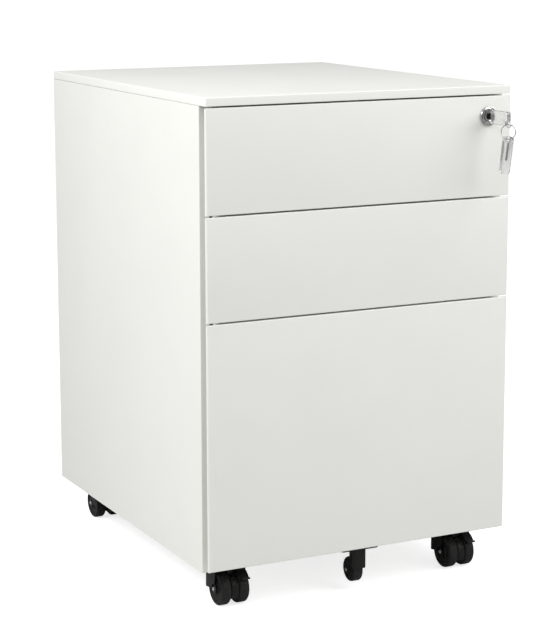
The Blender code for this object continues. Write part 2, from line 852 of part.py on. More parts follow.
def key(turn):
    """Blade in the plug, folding bow, split ring and the spare key that hangs on it."""
    pull = pivot("key_pull", (LOCK_X, FACE, LOCK_Z), turn)
    blade = brick(
        "key_blade",
        (LOCK_X - BLADE_THICKNESS / 2, FACE - BLADE_OUTSIDE, LOCK_Z - BLADE_HEIGHT / 2),
        (LOCK_X + BLADE_THICKNESS / 2, FACE + BLADE_INSIDE, LOCK_Z + BLADE_HEIGHT / 2),
    )
    finish(blade, "dark_steel")
    adopt(pull, blade)
    fold_place = (LOCK_X, FACE - FOLD_AT, LOCK_Z)
    fold = pivot("key_fold", fold_place, pull)
    eye = (FACE - BOW_END + LUG_RADIUS / 3, LOCK_Z - LUG_OFFSET)
    slot = (-CLEAR, BOW_SLOT_DEPTH, -BOW_SLOT_HEIGHT / 2, BOW_HEIGHT / 2 + CLEAR)
    root = (FACE - BOW_START, LOCK_Z)
    length = BOW_END - BOW_START
    bow = bow_solid("key_bow", "YZ", LOCK_X, root, (-1, 0), eye, slot, length, BOW_HEIGHT)
    finish(bow, "clear_plastic")
    set_origin(bow, fold_place)
    adopt(fold, bow)
    eye_place = (LOCK_X, eye[0], eye[1])
    swing = pivot("key_ring_swing", eye_place, fold)
    ring = split_ring((LOCK_X, eye[0], eye[1] - RING_RADIUS))
    set_origin(ring, eye_place)
    adopt(swing, ring)
    spare_key(swing, (LOCK_X, eye[0], eye[1] - 2 * RING_RADIUS))


def bow_solid(name, plane, at, root, direction, eye, slot, length, height):
    """A rounded clear bow with a slot for the blade and a thin lug with an eye at one far corner.

    The bow lies in the plane, at a fixed third coordinate; root is the middle of its near end and direction
    the way it runs, both in the plane's two axes. slot is (start, end, low, high), along it and across it.
    """
    along = Vector(direction)
    across = Vector((-along.y, along.x))
    half = height / 2
    r = BOW_CORNER
    corners = ((r, -half + r, 180, 270), (length - r, -half + r, 270, 360))
    corners += ((length - r, half - r, 0, 90), (r, half - r, 90, 180))
    outline = []
    for u, v, start, end in corners:
        for a, b in arc((u, v), r, math.radians(start), math.radians(end), 4):
            point = Vector(root) + along * a + across * b
            outline.append(tuple(point))
    body = extrusion(name, outline, plane, at - BOW_THICKNESS / 2, at + BOW_THICKNESS / 2)
    lug_outline = arc(eye, LUG_RADIUS, 0, math.tau * (1 - 1 / SMALL_STEPS), SMALL_STEPS)
    lug = extrusion(
        name + "_lug", lug_outline, plane, at - LUG_THICKNESS / 2, at + LUG_THICKNESS / 2
    )
    thin_outline = arc(eye, LUG_RADIUS + CLEAR, 0, math.tau * (1 - 1 / SMALL_STEPS), SMALL_STEPS)
    for tag, low, high in (
        ("near", at + LUG_THICKNESS / 2, at + BOW_THICKNESS),
        ("far", at - BOW_THICKNESS, at - LUG_THICKNESS / 2),
    ):
        cut(body, extrusion(f"{name}_thin_{tag}", thin_outline, plane, low, high))
    join(body, lug)
    eye_outline = arc(eye, EYE_RADIUS, 0, math.tau * (1 - 1 / SMALL_STEPS), SMALL_STEPS)
    cut(body, extrusion(name + "_eye", eye_outline, plane, at - BOW_THICKNESS, at + BOW_THICKNESS))
    start, end, low, high = slot
    slot_outline = []
    for a, b in ((start, low), (end, low), (end, high), (start, high)):
        slot_outline.append(tuple(Vector(root) + along * a + across * b))
    cut(
        body,
        extrusion(
            name + "_slot", slot_outline, plane, at - BOW_SLOT_WIDTH / 2, at + BOW_SLOT_WIDTH / 2
        ),
    )
    return body


def split_ring(centre):
    """A wire ring that faces the viewer's side, drawn as one closed ring."""
    bpy.ops.mesh.primitive_torus_add(
        location=(0, 0, 0),
        major_radius=RING_RADIUS,
        minor_radius=RING_WIRE,
        major_segments=RING_STEPS,
        minor_segments=6,
    )
    made = bpy.context.active_object
    mesh = made.data.copy()
    bpy.data.objects.remove(made)
    upright = Matrix.Rotation(math.pi / 2, 4, "X")
    turn = Matrix.Rotation(-RING_TURN, 4, "Z")
    mesh.transform(turn @ upright)
    mesh.name = "key_ring"
    ring = link("key_ring", mesh, CABINET)
    ring.location = centre
    ring.data.shade_smooth()
    return finish(ring, "chrome")


def spare_key(swing, eye_place):
    """The spare: a slimmer bow that hangs a little askew, its blade folded away in an open slot."""
    x, y, z = eye_place
    along = Vector((math.sin(SPARE_TILT), math.cos(SPARE_TILT)))
    across = Vector((-along.y, along.x))
    eye = Vector((x, z))
    root = eye - along * (SPARE_LENGTH - SPARE_EYE_INSET)
    hang = pivot("spare_key_swing", eye_place, swing)
    start = SPARE_BLADE_START
    end = start + SPARE_BLADE_LENGTH
    half = SPARE_BLADE_WIDTH / 2
    slot = (start - CLEAR, end + CLEAR, -half - CLEAR, SPARE_HEIGHT / 2 + CLEAR)
    bow = bow_solid(
        "spare_key_bow", "XZ", y, root, along, eye, slot, SPARE_LENGTH, SPARE_HEIGHT
    )
    finish(bow, "clear_plastic")
    set_origin(bow, eye_place)
    corners = ((start, -half), (end, -half), (end, half), (start, half))
    outline = [tuple(root + along * a + across * b) for a, b in corners]
    low = y - BLADE_THICKNESS / 2
    blade = extrusion("spare_key_blade", outline, "XZ", low, low + BLADE_THICKNESS)
    finish(blade, "dark_steel")
    set_origin(blade, eye_place)
    adopt(hang, bow, blade)


# ---------------------------------------------------------------- casters
def wheel_profile(radius, half, round_edge, bore):
    """Outer side first, top to bottom, then up the bore."""
    chamfer = round_edge * 0.3
    return [
        (bore, half),
        (radius - round_edge, half),
        (radius - chamfer, half - chamfer),
        (radius, half - round_edge),
        (radius, -half + round_edge),
        (radius - chamfer, -half + chamfer),
        (radius - round_edge, -half),
        (bore, -half),
    ]


def caster_plate(name, x, y):
    """Mounting plate under the base pan with the collar and kingpin that the hood swivels on."""
    top = BASE_HEIGHT - CLEAR
    bottom = top - PLATE_THICKNESS
    half = PLATE_SIDE / 2
    plate = brick(f"{name}_caster_plate", (x - half, y - half, bottom), (x + half, y + half, top))
    pin = turned(
        f"{name}_kingpin",
        [
            (0, bottom + OVERLAP),
            (COLLAR_RADIUS, bottom + OVERLAP),
            (COLLAR_RADIUS * 0.8, HOOD_TOP + CLEAR),
            (PIN_RADIUS, HOOD_TOP + CLEAR),
            (PIN_RADIUS, PIN_BOTTOM),
            (0, PIN_BOTTOM),
        ],
        "Z",
        (x, y, 0),
        SMALL_STEPS,
    )
    join(plate, pin)
    return finish(plate, "zinc")


def hood_sector(axle, lead, radius, start, end, count):
    """Points of an arc about the axle; angles run from the stem side over the top to the leading side."""
    points = []
    for u, v in arc((0, 0), radius, start, end, count):
        points.append((axle[0] - lead * u, axle[1] + v))
    return points


def hood_back(axle, lead, start, end):
    """The hood's side view: up its stem side, round a shoulder, along the flat top and down the slope."""
    rise = HOOD_TOP - axle[1]
    shoulder = (HOOD_RADIUS - HOOD_SHOULDER, rise - HOOD_SHOULDER)
    points = hood_sector(axle, lead, HOOD_RADIUS, start, 0.0, 4)
    for u, v in arc(shoulder, HOOD_SHOULDER, 0.0, math.pi / 2, 4):
        points.append((axle[0] - lead * u, axle[1] + v))
    points.append((axle[0] - lead * HOOD_SLOPE_START, HOOD_TOP))
    points += hood_sector(axle, lead, HOOD_RADIUS, end - math.radians(4), end, 2)
    return points


def caster_hood(name, x, axle_y, lead, stem_y):
    """Web between the wheels, and a full-width cover over their stem side and top with thin cheeks."""
    axle = (axle_y, WHEEL_RADIUS)
    low, over = math.radians(-8), math.radians(100)
    dip = math.asin((WHEEL_RADIUS - WEB_BOTTOM) / HOOD_RADIUS)
    web_dip = math.pi + math.asin((WHEEL_RADIUS - WEB_BOTTOM) / WEB_RADIUS)
    lead_side = hood_sector(axle, lead, WEB_RADIUS, over, web_dip, 9)
    web_outline = hood_back(axle, lead, -dip, over) + lead_side
    hood = extrusion(f"{name}_caster_hood", web_outline, "YZ", x - WEB_HALF, x + WEB_HALF)
    cover_outline = [axle] + hood_back(axle, lead, low, over)
    cover = extrusion(f"{name}_cover", cover_outline, "YZ", x - HOOD_HALF, x + HOOD_HALF)
    for side, sign in SIDES:
        pocket = rod(
            f"{name}_pocket_{side}",
            (x + sign * POCKET_INNER, *axle),
            (x + sign * POCKET_OUTER, *axle),
            POCKET_RADIUS,
            ROUND_STEPS,
        )
        cut(cover, pocket)
    join(hood, cover)
    socket = rod(
        f"{name}_socket",
        (x, stem_y, PIN_BOTTOM - 2 * CLEAR),
        (x, stem_y, HEIGHT),
        PIN_RADIUS + PIN_PLAY,
        SMALL_STEPS,
    )
    cut(hood, socket)
    bore = rod(
        f"{name}_axle_bore",
        (x - 2 * HOOD_HALF, *axle),
        (x + 2 * HOOD_HALF, *axle),
        AXLE_RADIUS + CLEAR,
    )
    cut(hood, bore)
    return finish(hood, "black_plastic")


def brake_lever(name, x, axle_y, lead):
    """A tab that wraps over the right-hand wheel in front of the hood, with a toe lip at its end."""
    axle = (axle_y, WHEEL_RADIUS)
    inner = POCKET_RADIUS
    outer = inner + LEVER_WALL
    over = hood_sector(axle, lead, outer, LEVER_START, LEVER_END, 7)
    lip_start, lip_end = LEVER_END - math.radians(6), LEVER_END + math.radians(2)
    lip = hood_sector(axle, lead, outer + LEVER_LIP, lip_start, lip_end, 2)
    under = hood_sector(axle, lead, inner, LEVER_END + math.radians(4), LEVER_START, 7)
    outline = over[:-1] + lip + under
    low = x + WHEEL_PITCH / 2 - LEVER_WIDTH / 2
    lever = extrusion(f"{name}_brake_lever", outline, "YZ", low, low + LEVER_WIDTH)
    return finish(lever, "black_plastic")


def caster(name, x, stem_y, lead, braked):
    """One twin-wheel caster; lead is the way the wheels point from the stem."""
    axle_y = stem_y + lead * STEM_OFFSET
    caster_plate(name, x, stem_y)
    swivel = pivot(f"{name}_caster_swivel", (x, stem_y, HOOD_TOP))
    hood = caster_hood(name, x, axle_y, lead, stem_y)
    set_origin(hood, (x, stem_y, HOOD_TOP))
    reach = HOOD_HALF + HOOD_CHEEK
    axle = rod(
        f"{name}_caster_axle",
        (x - reach, axle_y, WHEEL_RADIUS),
        (x + reach, axle_y, WHEEL_RADIUS),
        AXLE_RADIUS,
    )
    finish(axle, "zinc")
    adopt(swivel, hood, axle)
    profile = wheel_profile(WHEEL_RADIUS, WHEEL_HALF, WHEEL_ROUND, AXLE_RADIUS + AXLE_PLAY + CLEAR)
    for side, sign in SIDES:
        place = (x + sign * WHEEL_PITCH / 2, axle_y, WHEEL_RADIUS)
        wheel = turned(f"{name}_wheel_{side}", profile, "X", place)
        finish(wheel, "tread")
        adopt(pivot(f"{name}_wheel_{side}_spin", place, swivel), wheel)
    if braked:
        lever = brake_lever(name, x, axle_y, lead)
        set_origin(lever, (x, axle_y, WHEEL_RADIUS))
        adopt(pivot(f"{name}_brake", (x, axle_y, WHEEL_RADIUS), swivel), lever)


# ---------------------------------------------------------------- the whole cabinet
def build():
    for side, sign in SIDES:
        side_panel(side, sign)
    back_panel()
    base_pan()
    top_panel()
    front_rail()
    lock_bar()
    carriers = drawers()
    anti_tip_wheel(carriers["file"])
    key(lock(carriers["top"]))
    for name, x, y, lead, braked in CASTERS:
        caster(name, x, y, lead, braked)


build()
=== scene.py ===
"""Finished looks for a mobile steel filing cabinet.

Pressed sheet pieces, lock and keys, casters, their finishes and a plain studio.
"""

import json
import math

import bmesh
import bpy
import numpy as np
from bpy.props import FloatProperty, FloatVectorProperty, IntProperty, PointerProperty
from mathutils import Euler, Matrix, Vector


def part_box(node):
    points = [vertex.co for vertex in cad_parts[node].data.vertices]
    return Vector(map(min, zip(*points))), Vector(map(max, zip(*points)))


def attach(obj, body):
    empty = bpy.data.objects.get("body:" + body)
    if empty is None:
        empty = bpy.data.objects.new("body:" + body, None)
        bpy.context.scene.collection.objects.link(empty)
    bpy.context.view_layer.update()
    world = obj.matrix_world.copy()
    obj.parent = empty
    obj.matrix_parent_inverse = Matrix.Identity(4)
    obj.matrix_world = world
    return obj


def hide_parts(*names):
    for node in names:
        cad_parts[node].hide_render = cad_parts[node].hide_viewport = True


bl_info = {
    "name": "Steel Filing Cabinet Looks",
    "version": (1, 0, 0),
    "blender": (4, 5, 0),
    "location": "View3D > Sidebar > Cabinet",
    "description": "Pressed steel pieces, lock, keys, casters and finishes for a mobile filing cabinet",
    "category": "Object",
}

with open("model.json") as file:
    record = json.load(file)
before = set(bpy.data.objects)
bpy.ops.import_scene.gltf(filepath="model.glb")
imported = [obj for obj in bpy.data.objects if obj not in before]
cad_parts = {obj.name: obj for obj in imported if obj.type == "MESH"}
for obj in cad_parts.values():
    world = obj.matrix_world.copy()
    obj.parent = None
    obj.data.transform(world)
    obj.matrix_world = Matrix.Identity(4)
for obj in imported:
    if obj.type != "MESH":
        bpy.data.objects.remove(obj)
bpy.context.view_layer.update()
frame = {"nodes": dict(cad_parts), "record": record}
NODES = frame["nodes"]
FINISHES = {}

DRAWERS = ("top", "middle", "file")
SIDES = (("left", -1), ("right", 1))
CASTERS = ("front_left", "front_right", "rear_left", "rear_right")

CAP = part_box("top_panel")
FACE = CAP[0].y
BACK = CAP[1].y
HALF = CAP[1].x
POST_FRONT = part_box("right_side_panel")[0].y
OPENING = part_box("right_side_panel")[0].x
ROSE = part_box("lock_housing")
LOCK_X = (ROSE[0].x + ROSE[1].x) / 2
LOCK_Z = (ROSE[0].z + ROSE[1].z) / 2

POST_RETURN = 0.012
WINDOW_MARGIN = 0.0015
PLUG_RADIUS = 0.0062
BARREL_RADIUS = 0.0082
BOW_THICKNESS = 0.0048
BOW_CORNER = 0.003
EYE_RADIUS = 0.0023
EYE_BITE = 0.0039
RING_TURN = math.radians(40)
HUB_RADIUS = 0.0029
HOOD_RADIUS = 0.0225


# ---------------------------------------------------------------- settings
class SheetSettings(bpy.types.PropertyGroup):
    """Sizes of the folded sheet pieces."""

    thickness: FloatProperty(
        name="Sheet", description="Thickness of the steel sheet", default=0.0008, unit="LENGTH"
    )
    bend: FloatProperty(
        name="Bend", description="Outside radius of a folded edge", default=0.0012, unit="LENGTH"
    )
    face_bend: FloatProperty(
        name="Face bend",
        description="Outside radius of a drawer front's top and bottom edge",
        default=0.0010,
        unit="LENGTH",
    )
    cap_edge: FloatProperty(
        name="Cap edge", description="Rounding of the top cap's edges", default=0.0014, unit="LENGTH"
    )
    steps: IntProperty(
        name="Bend steps", description="Facets in one quarter turn of a fold", default=6, min=2
    )


class LockSettings(bpy.types.PropertyGroup):
    """Sizes of the lock face, the key bows and their ring."""

    bow_edge: FloatProperty(
        name="Bow edge", description="Rounding of the moulded bow", default=0.0009, unit="LENGTH"
    )
    wire: FloatProperty(
        name="Ring wire", description="Radius of the split ring's wire", default=0.0005, unit="LENGTH"
    )
    slot_half: FloatProperty(
        name="Keyway", description="Half the keyway's width", default=0.0011, unit="LENGTH"
    )
    bow_length: FloatProperty(
        name="Bow length", description="Length of the key's bow", default=0.0364, unit="LENGTH"
    )
    spare_length: FloatProperty(
        name="Spare length", description="Length of the spare's bow", default=0.0439, unit="LENGTH"
    )
    bow_width: FloatProperty(
        name="Bow width", description="Width of the key's bow", default=0.0170, unit="LENGTH"
    )
    spare_width: FloatProperty(
        name="Spare width", description="Width of the spare's bow", default=0.0135, unit="LENGTH"
    )
    spare_tilt: FloatProperty(name="Spare tilt", description="Lean of the spare, in degrees", default=7.0)


class CasterSettings(bpy.types.PropertyGroup):
    """Sizes of the caster mouldings."""

    shoulder: FloatProperty(
        name="Shoulder", description="Rounding of the hood's shoulders", default=0.0030, unit="LENGTH"
    )
    cheek: FloatProperty(
        name="Cheek", description="Thickness of the hood's cheeks", default=0.0012, unit="LENGTH"
    )
    steps: IntProperty(name="Round steps", description="Facets round a wheel", default=72, min=12)


class FinishSettings(bpy.types.PropertyGroup):
    """Colours and gloss of the finishes."""

    paint: FloatVectorProperty(
        name="Paint",
        description="White powder coat",
        subtype="COLOR",
        default=(0.772, 0.776, 0.738),
        min=0,
        max=1,
    )
    paint_gloss: FloatProperty(
        name="Paint roughness",
        description="Roughness of the powder coat",
        default=0.42,
        subtype="FACTOR",
    )
    zinc: FloatVectorProperty(
        name="Zinc",
        description="Zinc plate",
        subtype="COLOR",
        default=(0.58, 0.59, 0.60),
        min=0,
        max=1,
    )
    chrome: FloatVectorProperty(
        name="Chrome",
        description="Lock plating",
        subtype="COLOR",
        default=(0.50, 0.50, 0.50),
        min=0,
        max=1,
    )
    dark_steel: FloatVectorProperty(
        name="Dark steel",
        description="Key blades",
        subtype="COLOR",
        default=(0.07, 0.07, 0.07),
        min=0,
        max=1,
    )
    moulding: FloatVectorProperty(
        name="Moulding",
        description="Black caster plastic",
        subtype="COLOR",
        default=(0.0042, 0.0039, 0.0037),
        min=0,
        max=1,
    )
    tread: FloatVectorProperty(
        name="Tread",
        description="Caster wheels",
        subtype="COLOR",
        default=(0.0090, 0.0083, 0.0078),
        min=0,
        max=1,
    )
    clear: FloatVectorProperty(
        name="Clear plastic",
        description="Key bows",
        subtype="COLOR",
        default=(0.93, 0.935, 0.93),
        min=0,
        max=1,
    )


class StageSettings(bpy.types.PropertyGroup):
    """Studio floor, lights and camera."""

    floor: FloatVectorProperty(
        name="Floor",
        description="Pale floor",
        subtype="COLOR",
        default=(0.60, 0.60, 0.60),
        min=0,
        max=1,
    )
    glow: FloatProperty(name="Glow", description="Light given off by the lit floor table", default=0.75)
    surround: FloatProperty(name="Surround", description="Strength of the white surround", default=0.50)
    lens: FloatProperty(name="Lens", description="Focal length in millimetres", default=109.47)
    shift: FloatProperty(name="Shift", description="Vertical lens shift", default=-0.08)
    from_front: FloatProperty(
        name="Distance", description="Camera's distance in front of the fronts", default=1.9472, unit="LENGTH"
    )
    to_side: FloatProperty(
        name="Offset", description="Camera's place beside the middle plane", default=-1.0883, unit="LENGTH"
    )
    height: FloatProperty(
        name="Height", description="Camera's height above the floor", default=0.7769, unit="LENGTH"
    )
    turn: FloatProperty(
        name="Turn", description="Camera's heading", default=math.radians(26.723), subtype="ANGLE"
    )
    pitch: FloatProperty(
        name="Pitch", description="Camera's downward tilt", default=math.radians(9.754), subtype="ANGLE"
    )
    roll: FloatProperty(
        name="Roll", description="Camera's roll", default=math.radians(-0.075), subtype="ANGLE"
    )


SETTINGS = {
    "cabinet_sheet": SheetSettings,
    "cabinet_lock": LockSettings,
    "cabinet_caster": CasterSettings,
    "cabinet_finish": FinishSettings,
    "cabinet_stage": StageSettings,
}


# ---------------------------------------------------------------- shapes as arrays
def bent_line(corners, radii, steps):
    """Straight runs joined by arcs: at each corner, centre minus radius times the turned left normal.

    Returns the points and their left-hand unit normals.
    """
    corners = np.asarray(corners, float)
    ways = np.diff(corners, axis=0)
    ways /= np.linalg.norm(ways, axis=1)[:, None]
    lefts = np.column_stack((-ways[:, 1], ways[:, 0]))
    radii = np.broadcast_to(radii, len(corners) - 2)
    points, normals = [corners[:1]], [lefts[:1]]
    for i, radius in enumerate(radii):
        before, after, left = ways[i], ways[i + 1], lefts[i]
        turn = math.atan2(before[0] * after[1] - before[1] * after[0], before @ after)
        hand = math.copysign(radius, turn)
        start = corners[i + 1] - before * radius * math.tan(abs(turn) / 2)
        swing = np.linspace(0, turn, steps + 1)
        normal = np.column_stack(
            (
                left[0] * np.cos(swing) - left[1] * np.sin(swing),
                left[0] * np.sin(swing) + left[1] * np.cos(swing),
            )
        )
        points.append(start + left * hand - normal * hand)
        normals.append(normal)
    points.append(corners[-1:])
    normals.append(lefts[-1:])
    return np.vstack(points), np.vstack(normals)


def folded_sheet(corners, thickness, radii, steps):
    """The bent line, and back along the same line moved to its left by the sheet's thickness."""
    line, normals = bent_line(corners, radii, steps)
    return np.vstack((line, (line + normals * thickness)[::-1]))


def rounded_loop(corners, radii, steps):
    """A closed outline whose corners are arcs, begun in the middle of its last side."""
    corners = np.asarray(corners, float)
    middle = (corners[0] + corners[-1]) / 2
    return bent_line(np.vstack((middle, corners, middle)), radii, steps)[0][:-1]


def drawn_in(loop, amount):
    """Each point moved along the mitre of its two sides, so that every side moves inwards by the amount."""
    sides = np.roll(loop, -1, 0) - loop
    sides /= np.linalg.norm(sides, axis=1)[:, None]
    normals = np.column_stack((-sides[:, 1], sides[:, 0]))
    before = np.roll(normals, 1, 0)
    area = np.sum(loop[:, 0] * np.roll(loop[:, 1], -1) - loop[:, 1] * np.roll(loop[:, 0], -1))
    mitre = (normals + before) / (1 + np.sum(normals * before, axis=1))[:, None]
    return loop + mitre * amount * math.copysign(1, area)


PLANES = {"XY": (0, 1, 2), "YZ": (1, 2, 0), "XZ": (0, 2, 1)}


def lifted(loop, plane, depth):
    """The flat outline laid in a plane at a depth along the third axis."""
    points = np.empty((len(loop), 3))
    first, second, third = PLANES[plane]
    points[:, first], points[:, second] = np.asarray(loop).T
    points[:, third] = depth
    return points


def loft(rings, looped=False):
    """Quads between neighbouring rings of equal length; open ends are closed with one face each."""
    rings = np.asarray(rings, float)
    index = np.arange(rings.shape[0] * rings.shape[1]).reshape(rings.shape[:2])
    ends = [] if looped else [index[0][::-1].tolist(), index[-1].tolist()]
    if looped:
        index = np.vstack((index, index[:1]))
    here, there = index[:-1], index[1:]
    quads = np.stack((here, np.roll(here, -1, 1), np.roll(there, -1, 1), there), -1)
    return rings.reshape(-1, 3), quads.reshape(-1, 4).tolist() + ends


def prism(loop, plane, low, high):
    """The outline carried straight from one depth to another."""
    return loft([lifted(loop, plane, low), lifted(loop, plane, high)])


def soft_slab(loop, plane, low, high, edge, steps=4):
    """A prism with quarter-round edges.

    On both faces the inset is edge times (1 - sin) and the depth edge times (1 - cos).
    """
    swing = np.linspace(0, math.pi / 2, steps + 1)
    insets = edge * (1 - np.sin(swing))
    depths = edge * (1 - np.cos(swing))
    rings = [lifted(drawn_in(loop, i), plane, low + d) for i, d in zip(insets, depths)]
    ends = zip(insets[::-1], depths[::-1])
    rings += [lifted(drawn_in(loop, i), plane, high - d) for i, d in ends]
    return loft(rings)


def turned(profile, axis, centre, steps):
    """Rings of (radius, height) about an axis: centre + radius (cos, sin) across it + height along it."""
    angle = np.arange(steps) * math.tau / steps
    profile = np.asarray(profile, float)
    first, second, third = PLANES[{"X": "YZ", "Y": "XZ", "Z": "XY"}[axis]]
    rings = np.zeros((len(profile), steps, 3))
    rings[:, :, first] = centre[first] + profile[:, :1] * np.cos(angle)
    rings[:, :, second] = centre[second] + profile[:, :1] * np.sin(angle)
    rings[:, :, third] = centre[third] + profile[:, 1:]
    return rings


def solid_turned(profile, axis, centre, steps):
    """A turned solid with flat closed ends."""
    return loft(turned(profile, axis, centre, steps))


def ring_turned(profile, axis, centre, steps):
    """A turned ring: the profile closes on itself."""
    return loft(turned(profile, axis, centre, steps), looped=True)


def wrapped(section, centre, lead, start, end, steps):
    """A section of (x, radius) swung about the axle from one angle to another, 0 being the stem side."""
    section = np.asarray(section, float)
    angle = np.linspace(start, end, steps + 1)[:, None]
    rings = np.empty((steps + 1, len(section), 3))
    rings[:, :, 0] = centre[0] + section[:, 0]
    rings[:, :, 1] = centre[1] - lead * section[:, 1] * np.cos(angle)
    rings[:, :, 2] = centre[2] + section[:, 1] * np.sin(angle)
    return loft(rings)


def arc(centre, radius, start, end, count):
    """Centre plus radius times (cos, sin) from one angle to another, in degrees."""
    angle = np.radians(np.linspace(start, end, count))
    return np.column_stack((centre[0] + radius * np.cos(angle), centre[1] + radius * np.sin(angle)))


def place(name, parts, slot, body, *replaced):
    """Puts the parts in one mesh with outward faces, gives it its finish and body, and retires CAD nodes."""
    points, faces, first = [], [], 0
    for part_points, part_faces in parts:
        points.append(part_points)
        faces += [[first + i for i in face] for face in part_faces]
        first += len(part_points)
    mesh = bpy.data.meshes.new(name)
    mesh.from_pydata(np.vstack(points).tolist(), [], faces)
    work = bmesh.new()
    work.from_mesh(mesh)
    bmesh.ops.recalc_face_normals(work, faces=work.faces)
    work.to_mesh(mesh)
    work.free()
    mesh.shade_smooth()
    mesh.set_sharp_from_angle(angle=math.radians(32))
    obj = bpy.data.objects.new(name, mesh)
    bpy.context.scene.collection.objects.link(obj)
    mesh.materials.append(FINISHES[slot])
    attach(obj, body)
    if replaced:
        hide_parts(*replaced)
    return obj


# ---------------------------------------------------------------- finishes
def feed(tree, socket, value):
    """Links another node's output to the socket, or sets the socket to a plain value."""
    if hasattr(value, "is_output"):
        tree.links.new(value, socket)
    else:
        socket.default_value = value


def add(tree, kind, **inputs):
    """A shader node; each keyword feeds the input of that name, spaces written as underscores."""
    made = tree.nodes.new("ShaderNode" + kind)
    for name, value in inputs.items():
        feed(tree, made.inputs[name.replace("_", " ")], value)
    return made


def maths(tree, operation, first, second):
    """Two values joined by one sum, product or the like."""
    made = tree.nodes.new("ShaderNodeMath")
    made.operation = operation
    feed(tree, made.inputs[0], first)
    feed(tree, made.inputs[1], second)
    return made.outputs[0]


def spread(tree, value, low, high, to_low, to_high):
    """The value, stretched from one range to another and held inside it."""
    made = tree.nodes.new("ShaderNodeMapRange")
    tree.links.new(value, made.inputs["Value"])
    for name, number in zip(("From Min", "From Max", "To Min", "To Max"), (low, high, to_low, to_high)):
        made.inputs[name].default_value = number
    return made.outputs["Result"]


def opaque(colour):
    """Three channels and a full alpha."""
    return (*tuple(colour), 1)


def blended(tree, factor, first, second):
    """One colour fading to another; either may be another node's output."""
    made = tree.nodes.new("ShaderNodeMix")
    made.data_type = "RGBA"
    feed(tree, made.inputs["Factor"], factor)
    feed(tree, made.inputs["A"], first)
    feed(tree, made.inputs["B"], second)
    return made.outputs["Result"]


def scaled_noise(tree, vector, scale, detail):
    """Noise over the given place."""
    return add(tree, "TexNoise", Vector=vector, Scale=scale, Detail=detail).outputs["Fac"]


def new_group(name, inputs, outputs):
    """An empty node group with its named sockets; returns it with its input and output nodes."""
    group = bpy.data.node_groups.new(name, "ShaderNodeTree")
    for socket, default in inputs.items():
        made = group.interface.new_socket(socket, in_out="INPUT", socket_type="NodeSocketFloat")
        made.default_value = default
    for socket in outputs:
        group.interface.new_socket(socket, in_out="OUTPUT", socket_type="NodeSocketFloat")
    return group, group.nodes.new("NodeGroupInput"), group.nodes.new("NodeGroupOutput")


def surface_grain():
    """Fine pimples with a slow swell under them, for sprayed and moulded skins."""
    group, given, gives = new_group(
        "Surface Grain", {"Grain": 900.0, "Swell": 6.0, "Swell Share": 0.5}, ("Height", "Cloud")
    )
    place_of = add(group, "TexCoord").outputs["Object"]
    fine = scaled_noise(group, place_of, given.outputs["Grain"], 2.0)
    slow = scaled_noise(group, place_of, given.outputs["Swell"], 1.0)
    lift = maths(group, "MULTIPLY", slow, given.outputs["Swell Share"])
    group.links.new(maths(group, "ADD", fine, lift), gives.inputs["Height"])
    cloud = scaled_noise(group, place_of, maths(group, "MULTIPLY", given.outputs["Swell"], 2.3), 4.0)
    group.links.new(spread(group, cloud, 0.3, 0.7, 0.0, 1.0), gives.inputs["Cloud"])
    return group


def handling_wear():
    """Sparse rubbed patches broken up by fine scratches."""
    group, given, gives = new_group("Handling Wear", {"Patch": 9.0, "Scratch": 160.0}, ("Rub", "Scratch"))
    place_of = add(group, "TexCoord").outputs["Object"]
    patch = scaled_noise(group, place_of, given.outputs["Patch"], 3.0)
    rub = spread(group, patch, 0.56, 0.74, 0.0, 1.0)
    long_way = add(group, "Mapping", Vector=place_of, Scale=(1.0, 0.12, 0.12), Rotation=(0.3, 0.5, 0.2))
    line = scaled_noise(group, long_way.outputs["Vector"], given.outputs["Scratch"], 2.0)
    scratch = spread(group, line, 0.66, 0.74, 0.0, 1.0)
    group.links.new(rub, gives.inputs["Rub"])
    group.links.new(maths(group, "MULTIPLY", scratch, rub), gives.inputs["Scratch"])
    return group


def drawn_streaks():
    """Long fine lines left by rolling or turning, with a soft blotch across them."""
    group, given, gives = new_group("Drawn Streaks", {"Lines": 500.0, "Blotch": 30.0}, ("Lines", "Blotch"))
    place_of = add(group, "TexCoord").outputs["Object"]
    stretched = add(group, "Mapping", Vector=place_of, Scale=(1.0, 0.03, 1.0))
    lines = scaled_noise(group, stretched.outputs["Vector"], given.outputs["Lines"], 3.0)
    blotch = scaled_noise(group, place_of, given.outputs["Blotch"], 4.0)
    group.links.new(spread(group, lines, 0.3, 0.7, 0.0, 1.0), gives.inputs["Lines"])
    group.links.new(spread(group, blotch, 0.35, 0.65, 0.0, 1.0), gives.inputs["Blotch"])
    return group


def use_group(tree, group, **values):
    """The outputs of a shared effect with its own values."""
    made = tree.nodes.new("ShaderNodeGroup")
    made.node_tree = group
    for name, value in values.items():
        made.inputs[name.replace("_", " ")].default_value = value
    return made.outputs


def new_finish(slot, metallic, **constants):
    """A named material; constants go straight on the shader."""
    material = bpy.data.materials.new(slot)
    material.use_nodes = True
    tree = material.node_tree
    shader = tree.nodes["Principled BSDF"]
    shader.inputs["Metallic"].default_value = metallic
    for name, value in constants.items():
        shader.inputs[name.replace("_", " ")].default_value = value
    FINISHES[slot] = material
    return tree, shader


def raise_surface(tree, shader, height, strength, distance):
    """Bumps the shader's surface by the height."""
    bump = add(tree, "Bump", Strength=strength, Distance=distance, Height=height)
    tree.links.new(bump.outputs["Normal"], shader.inputs["Normal"])


